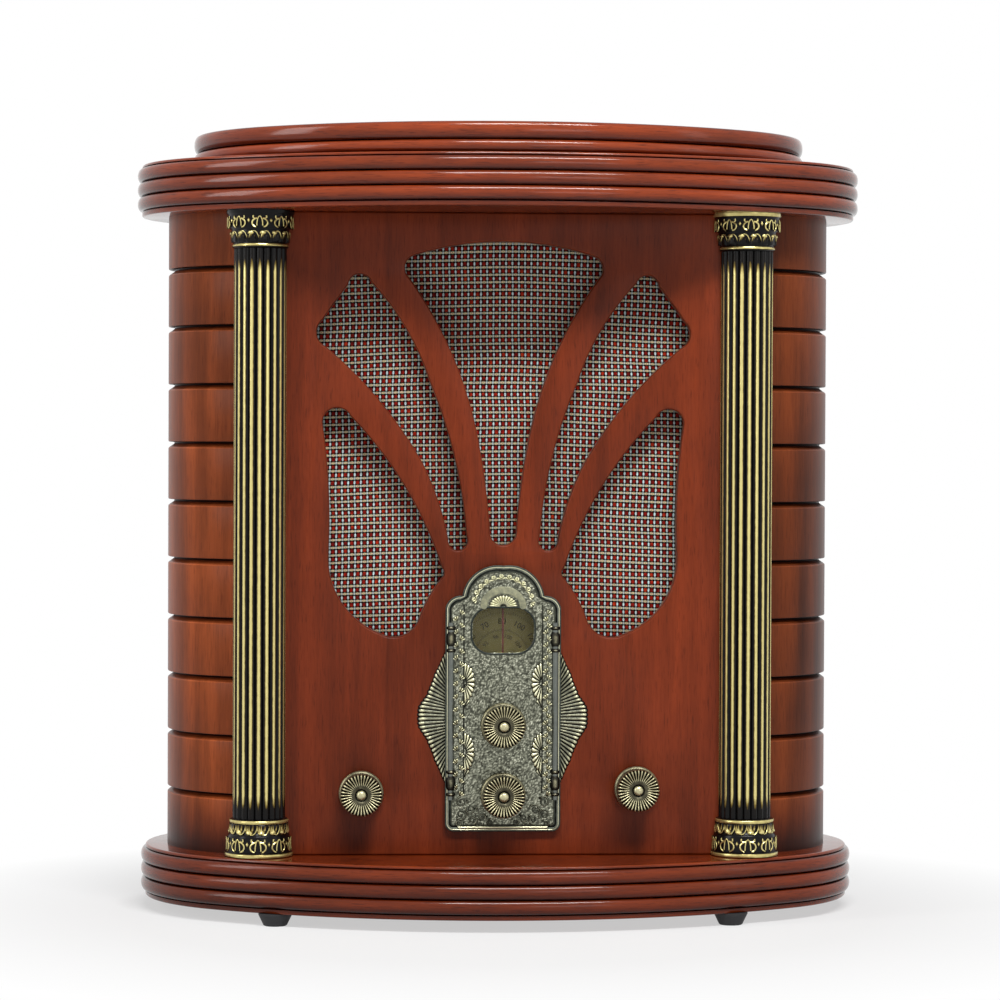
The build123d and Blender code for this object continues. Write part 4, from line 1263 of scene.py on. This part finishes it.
class RADIO_OT_escutcheon(bpy.types.Operator):
    """Build the cast dial plate with its rim, window, shells, rods and wings"""
    bl_idname = "radio.escutcheon"
    bl_label = "Escutcheon"

    def execute(self, context):
        cast = antique_metal("cast_brass", (20, 20, 17), (92, 95, 84), (196, 194, 156),
                             PLATE_FRONT + 0.2, RIM_FRONT - 0.3)
        grainy = relief_metal("cast_stipple", (32, 33, 27), (142, 144, 126), (236, 236, 214), tone=0.30)
        rim = antique_metal("rim_metal", (20, 22, 20), (66, 72, 66), (150, 154, 138),
                            PLATE_FRONT - 0.1, RIM_FRONT - 0.7)
        raised = antique_metal("cast_relief", (9, 9, 8), (80, 82, 70), (226, 224, 190),
                               PLATE_FRONT - 0.34, PLATE_FRONT - 1.25)
        smooth = antique_metal("rod_metal", (60, 62, 58), (84, 88, 84), (112, 116, 110),
                               PLATE_FRONT, PLATE_FRONT - 2.6, tone=0.32)
        knuckle = antique_metal("knuckle_metal", (14, 13, 11), (56, 54, 44), (204, 198, 160),
                                PLATE_FRONT - 1.7, PLATE_FRONT - 3.3)
        wing = antique_metal("wing_metal", (12, 12, 10), (84, 85, 74), (204, 202, 166),
                             PANEL_FRONT - 0.35, PANEL_FRONT - 1.35)
        window = rounded_box(14.6, 10.55, 8.5, WINDOW_Z)
        holes = [round_hole(*CONTROLS[word]) for word in ON_THE_PLATE]
        plate = flat_mesh([plate_outline(0.4), window] + holes, PLATE_FRONT, PANEL_FRONT, 0.3, 2)
        ground = stippled_ground(plate_outline(2.6), window, holes)
        arch = flat_mesh([arch_band()], PLATE_FRONT - 0.75, PLATE_FRONT + 0.3, 0.3, 3)
        rods, knuckles = rods_and_knuckles()
        for bm, name, finish, sharp, replaced in (
                (plate, "plate", cast, 40, ["escutcheon"]),
                (ground, "plate_ground", grainy, 180, []),
                (plate_rims(window), "plate_rims", rim, 40, []),
                (plate_shells(), "plate_shells", raised, 60, []),
                (plate_scrolls(), "plate_scrolls", raised, 60, []),
                (plate_leaves(), "plate_leaves", raised, 60, []),
                (arch, "plate_arch", cast, 40, []),
                (rods, "plate_rods", smooth, 40, []),
                (knuckles, "plate_knuckles", knuckle, 40, []),
                (both_wings(), "plate_wings", wing, 60, [])):
            finish_piece(bm, name, "cabinet", finish, sharp, replaced)
        return {"FINISHED"}


def digits(text, size, centre, turn, y):
    """A flat number as a mesh in the XZ plane, its foot towards the dial's centre."""
    curve = bpy.data.curves.new("digits", "FONT")
    curve.body = text
    curve.size = size * MM
    curve.extrude = 0.04 * MM
    curve.align_x = "CENTER"
    curve.align_y = "CENTER"
    mesh = mesh_of(curve)
    stand = (Matrix.Translation(Vector((centre[0], y, centre[1])) * MM) @ Matrix.Rotation(turn, 4, "Y")
             @ Matrix.Rotation(math.pi / 2, 4, "X"))
    mesh.transform(stand)
    return mesh


# The dial's rows of numbers as (radius, size, numbers), and the radii of its rings of marks
DIAL_NUMBERS = ((16.6, 3.9, ("53", "60", "70", "80", "100", "120", "160")),
                (9.6, 2.7, ("88", "92", "96", "100", "104", "108")))
DIAL_SCALES = (12.2, 20.2, 22.4)


class RADIO_OT_dial(bpy.types.Operator):
    """Build the numbers and marks that turn with the dial"""
    bl_idname = "radio.dial"
    bl_label = "Dial"

    def execute(self, context):
        ink = plain("dial_ink", linear(48, 42, 24), 0.6)
        marks = bmesh.new()
        y = DISC_FRONT - 0.12
        for radius, size, texts in DIAL_NUMBERS:
            for k, text in enumerate(texts):
                angle = math.radians(-88 + 176 * k / (len(texts) - 1))
                centre = (radius * math.sin(angle), DISC_Z + radius * math.cos(angle))
                marks.from_mesh(digits(text, size, centre, angle, y))
        for radius in DIAL_SCALES:
            for k in range(61):
                angle = math.radians(-90 + 3 * k)
                long = 1.5 if k % 5 == 0 else 0.8
                tick = box_mesh((-0.09, y, radius), (0.09, y + 0.08, radius + long))
                turn_about(tick, angle, "Y")
                join(marks, shift(tick, 0, 0, DISC_Z))
        bmesh.ops.remove_doubles(marks, verts=marks.verts, dist=MERGE)
        finish_piece(marks, "dial_marks", "dial_drive", ink, 180)
        return {"FINISHED"}


class RADIO_OT_knobs(bpy.types.Operator):
    """Build the four ribbed knobs"""
    bl_idname = "radio.knobs"
    bl_label = "Knobs"

    def execute(self, context):
        ribs = context.scene.radio_settings.knob_ribs
        gilt = relief_metal("knob_gilt", (8, 8, 6), (72, 69, 54), (186, 180, 144))
        for word, (x, z) in CONTROLS.items():
            body = "tuning_drive" if word == "tuning" else f"{word}_control"
            if word in ON_THE_PLATE:
                knob = knob_mesh(KNOB_FRONT, PLATE_KNOB_BACK, ribs)
            else:
                knob = knob_mesh(SIDE_KNOB_FRONT, PANEL_KNOB_BACK, ribs)
            shift(knob, x, 0, z)
            finish_piece(knob, f"{word}_dial_knob", body, gilt, 40, [f"{word}_knob"])
        return {"FINISHED"}


# Where the feet stand, in from the sides and from front to back, and the profile of one as (radius, height)
FOOT_X = 106.5
FOOT_Y = (-52.0, 72.0)
FOOT = ((0, 0), (5.0, 0), (5.5, 0.3), (5.8, 0.9), (7.6, 4.6), (7.9, 5.2), (7.9, 5.9), (0, 5.9))


class RADIO_OT_feet(bpy.types.Operator):
    """Build the four rubber feet"""
    bl_idname = "radio.feet"
    bl_label = "Feet"

    def execute(self, context):
        rubber = plain("rubber", linear(38, 38, 40), 0.75, grain=500.0)
        feet = bmesh.new()
        for x in (-FOOT_X, FOOT_X):
            for y in FOOT_Y:
                join(feet, turned(FOOT, (x, y, 0), UP, 48))
        finish_piece(feet, "feet", "cabinet", rubber, 40, ["rubber_feet"])
        return {"FINISHED"}


class RADIO_OT_inside(bpy.types.Operator):
    """Give the pieces that are kept from the frame their finishes"""
    bl_idname = "radio.inside"
    bl_label = "Inner pieces"

    def execute(self, context):
        finishes = {
            "fibreboard": wood("fibreboard", linear(84, 62, 46), linear(104, 78, 58), linear(122, 94, 70), 2,
                               pores=0.3, shine=0.7),
            "black_plastic": plain("black_plastic", linear(30, 30, 31), 0.5),
            "plain_steel": plain("steel", linear(170, 170, 166), 0.35, metallic=0.9),
            "magnet_iron": plain("magnet_iron", linear(84, 84, 88), 0.5, metallic=0.4),
            "cone_paper": plain("cone_paper", linear(58, 52, 46), 0.9),
            "circuit": plain("circuit", linear(76, 106, 58), 0.5),
            "dial_paper": plain("dial_paper", linear(121, 113, 56), 0.5),
            "pointer_red": plain("pointer_red", linear(88, 14, 8), 0.5),
            "lens": clear("lens_clear"),
        }
        slots = {entry["node"]: entry["material_slot"] for entry in frame["record"]["subparts"]}
        for node, piece in frame["nodes"].items():
            if slots[node] in finishes:
                piece.data.materials.clear()
                piece.data.materials.append(finishes[slots[node]])
        return {"FINISHED"}


def clear(name):
    """Clear plastic, thin enough to see the dial through."""
    made = NodeTree(name)
    made.set(Base_Color=(1, 1, 1, 1), Roughness=0.05, Transmission_Weight=1.0, IOR=1.12)
    return made.material


def seen_rays(tree):
    """A socket that is 1 for rays from the camera, in reflections and through clear pieces."""
    path = tree.nodes.new("ShaderNodeLightPath")
    total = path.outputs["Is Camera Ray"]
    for name in ("Is Glossy Ray", "Is Transmission Ray"):
        either = tree.nodes.new("ShaderNodeMath")
        either.operation = "MAXIMUM"
        tree.links.new(total, either.inputs[0])
        tree.links.new(path.outputs[name], either.inputs[1])
        total = either.outputs[0]
    return total


def pale_floor(name):
    """A pale floor that holds the radio's shadow and turns plain white further away."""
    made = NodeTree(name)
    made.set(Base_Color=(0.90, 0.90, 0.90, 1), Roughness=0.9, Specular_IOR_Level=0.1)
    axes = made.parts(made.position())
    squares = [made.math("POWER", axes[name], 2.0) for name in ("X", "Y")]
    away = made.band(made.math("SQRT", made.math("ADD", *squares)), 0.18, 0.32)
    far = made.math("ADD", 0.55, made.math("MULTIPLY", away, 0.45))
    white = made.node("ShaderNodeEmission")
    white.inputs["Color"].default_value = (1, 1, 1, 1)
    blend = made.node("ShaderNodeMixShader")
    made.link(made.math("MULTIPLY", far, seen_rays(made.tree)), blend.inputs["Fac"])
    made.link(made.shader.outputs["BSDF"], blend.inputs[1])
    made.link(white.outputs["Emission"], blend.inputs[2])
    made.link(blend.outputs["Shader"], made.tree.nodes["Material Output"].inputs["Surface"])
    return made.material


# Lamps as name, place, size and power, all aimed at one point
LAMPS = (
    ("key", (0.25, -1.42, 1.88), (1.3, 0.30), 43),
    ("left", (-1.6, -0.7, 0.9), (0.4, 1.2), 8),
    ("right", (1.7, -0.9, 0.7), (0.3, 1.2), 1.0),
    ("front", (0.75, -2.3, 0.5), (0.8, 0.5), 2.4),
)
LAMP_AIM = (0, 0, 0.2)


def area_light(name, place, size, power):
    """A rectangular lamp that points at the radio."""
    light = bpy.data.lights.new(name, "AREA")
    light.shape = "RECTANGLE"
    light.size, light.size_y = size
    light.energy = power
    lamp = bpy.data.objects.new(name, light)
    bpy.context.scene.collection.objects.link(lamp)
    lamp.location = place
    lamp.rotation_euler = (Vector(LAMP_AIM) - Vector(place)).to_track_quat("-Z", "Y").to_euler()


def white_world(name):
    """A dim pale world that the camera, reflections and clear pieces see as white."""
    world = bpy.data.worlds.new(name)
    world.use_nodes = True
    tree = world.node_tree
    dim = tree.nodes["Background"]
    white = tree.nodes.new("ShaderNodeBackground")
    for node, colour, strength in ((dim, (0.78, 0.79, 0.80, 1), 0.09), (white, (1, 1, 1, 1), 1.0)):
        node.inputs["Color"].default_value = colour
        node.inputs["Strength"].default_value = strength
    choice = tree.nodes.new("ShaderNodeMixShader")
    tree.links.new(seen_rays(tree), choice.inputs["Fac"])
    tree.links.new(dim.outputs["Background"], choice.inputs[1])
    tree.links.new(white.outputs["Background"], choice.inputs[2])
    tree.links.new(choice.outputs["Shader"], tree.nodes["World Output"].inputs["Surface"])
    return world


class RADIO_OT_stage(bpy.types.Operator):
    """Set up the floor, the lights, the white background and the camera"""
    bl_idname = "radio.stage"
    bl_label = "Stage"

    def execute(self, context):
        scene = context.scene
        bm = bmesh.new()
        bmesh.ops.create_grid(bm, x_segments=1, y_segments=1, size=4.0)
        mesh = bpy.data.meshes.new("floor")
        bm.to_mesh(mesh)
        bm.free()
        floor = bpy.data.objects.new("floor", mesh)
        scene.collection.objects.link(floor)
        mesh.materials.append(pale_floor("floor_pale"))
        for lamp in LAMPS:
            area_light(*lamp)
        scene.world = white_world("studio")
        camera = bpy.data.cameras.new("camera")
        camera.lens = CAMERA_LENS
        camera.sensor_width = CAMERA_SENSOR
        holder = bpy.data.objects.new("camera", camera)
        scene.collection.objects.link(holder)
        holder.matrix_world = camera_matrix()
        scene.camera = holder
        scene.view_settings.view_transform = "Standard"
        return {"FINISHED"}


# The camera: its lens and sensor, and its place, all in millimetres, and its yaw, pitch and roll in radians
CAMERA_LENS = 127.44
CAMERA_SENSOR = 36.0
CAMERA_PLACE = (-82.24, -1700.28, 224.73)
CAMERA_TURN = (0.0483437, 0.0159225, 0.0040251)


def camera_matrix():
    """The camera's matrix, from its place and the small angles the photograph was taken at."""
    yaw, pitch, roll = CAMERA_TURN
    ahead = Vector((math.sin(yaw) * math.cos(pitch), math.cos(yaw) * math.cos(pitch), -math.sin(pitch)))
    right = Vector((math.cos(yaw), -math.sin(yaw), 0.0))
    up = right.cross(ahead)
    across = right * math.cos(roll) + up * math.sin(roll)
    above = up * math.cos(roll) - right * math.sin(roll)
    turn = Matrix((across, above, -ahead)).transposed()
    return Matrix.Translation(Vector(CAMERA_PLACE) * MM) @ turn.to_4x4()


STEPS = (
    RADIO_OT_boards, RADIO_OT_walls, RADIO_OT_columns, RADIO_OT_panel, RADIO_OT_cloth,
    RADIO_OT_escutcheon, RADIO_OT_dial, RADIO_OT_knobs, RADIO_OT_feet, RADIO_OT_inside, RADIO_OT_stage,
)


class RADIO_PT_build(bpy.types.Panel):
    """Lists the steps that build the radio"""
    bl_idname = "RADIO_PT_build"
    bl_label = "Radio"
    bl_space_type = "VIEW_3D"
    bl_region_type = "UI"
    bl_category = "Radio"

    def draw(self, context):
        for settings in (context.scene.radio_settings, context.scene.radio_finishes):
            for name in settings.__annotations__:
                self.layout.prop(settings, name)
        for step in STEPS:
            self.layout.operator(step.bl_idname)


CLASSES = (RadioSettings, RadioFinishes) + STEPS + (RADIO_PT_build,)


def register():
    for item in CLASSES:
        bpy.utils.register_class(item)
    bpy.types.Scene.radio_settings = bpy.props.PointerProperty(type=RadioSettings)
    bpy.types.Scene.radio_finishes = bpy.props.PointerProperty(type=RadioFinishes)


def unregister():
    del bpy.types.Scene.radio_finishes
    del bpy.types.Scene.radio_settings
    for item in reversed(CLASSES):
        bpy.utils.unregister_class(item)


def main():
    """Builds the whole radio."""
    register()
    bpy.ops.radio.boards()
    bpy.ops.radio.walls()
    bpy.ops.radio.columns()
    bpy.ops.radio.panel()
    bpy.ops.radio.cloth()
    bpy.ops.radio.escutcheon()
    bpy.ops.radio.dial()
    bpy.ops.radio.knobs()
    bpy.ops.radio.feet()
    bpy.ops.radio.inside()
    bpy.ops.radio.stage()


if __name__ == "__main__":
    main()
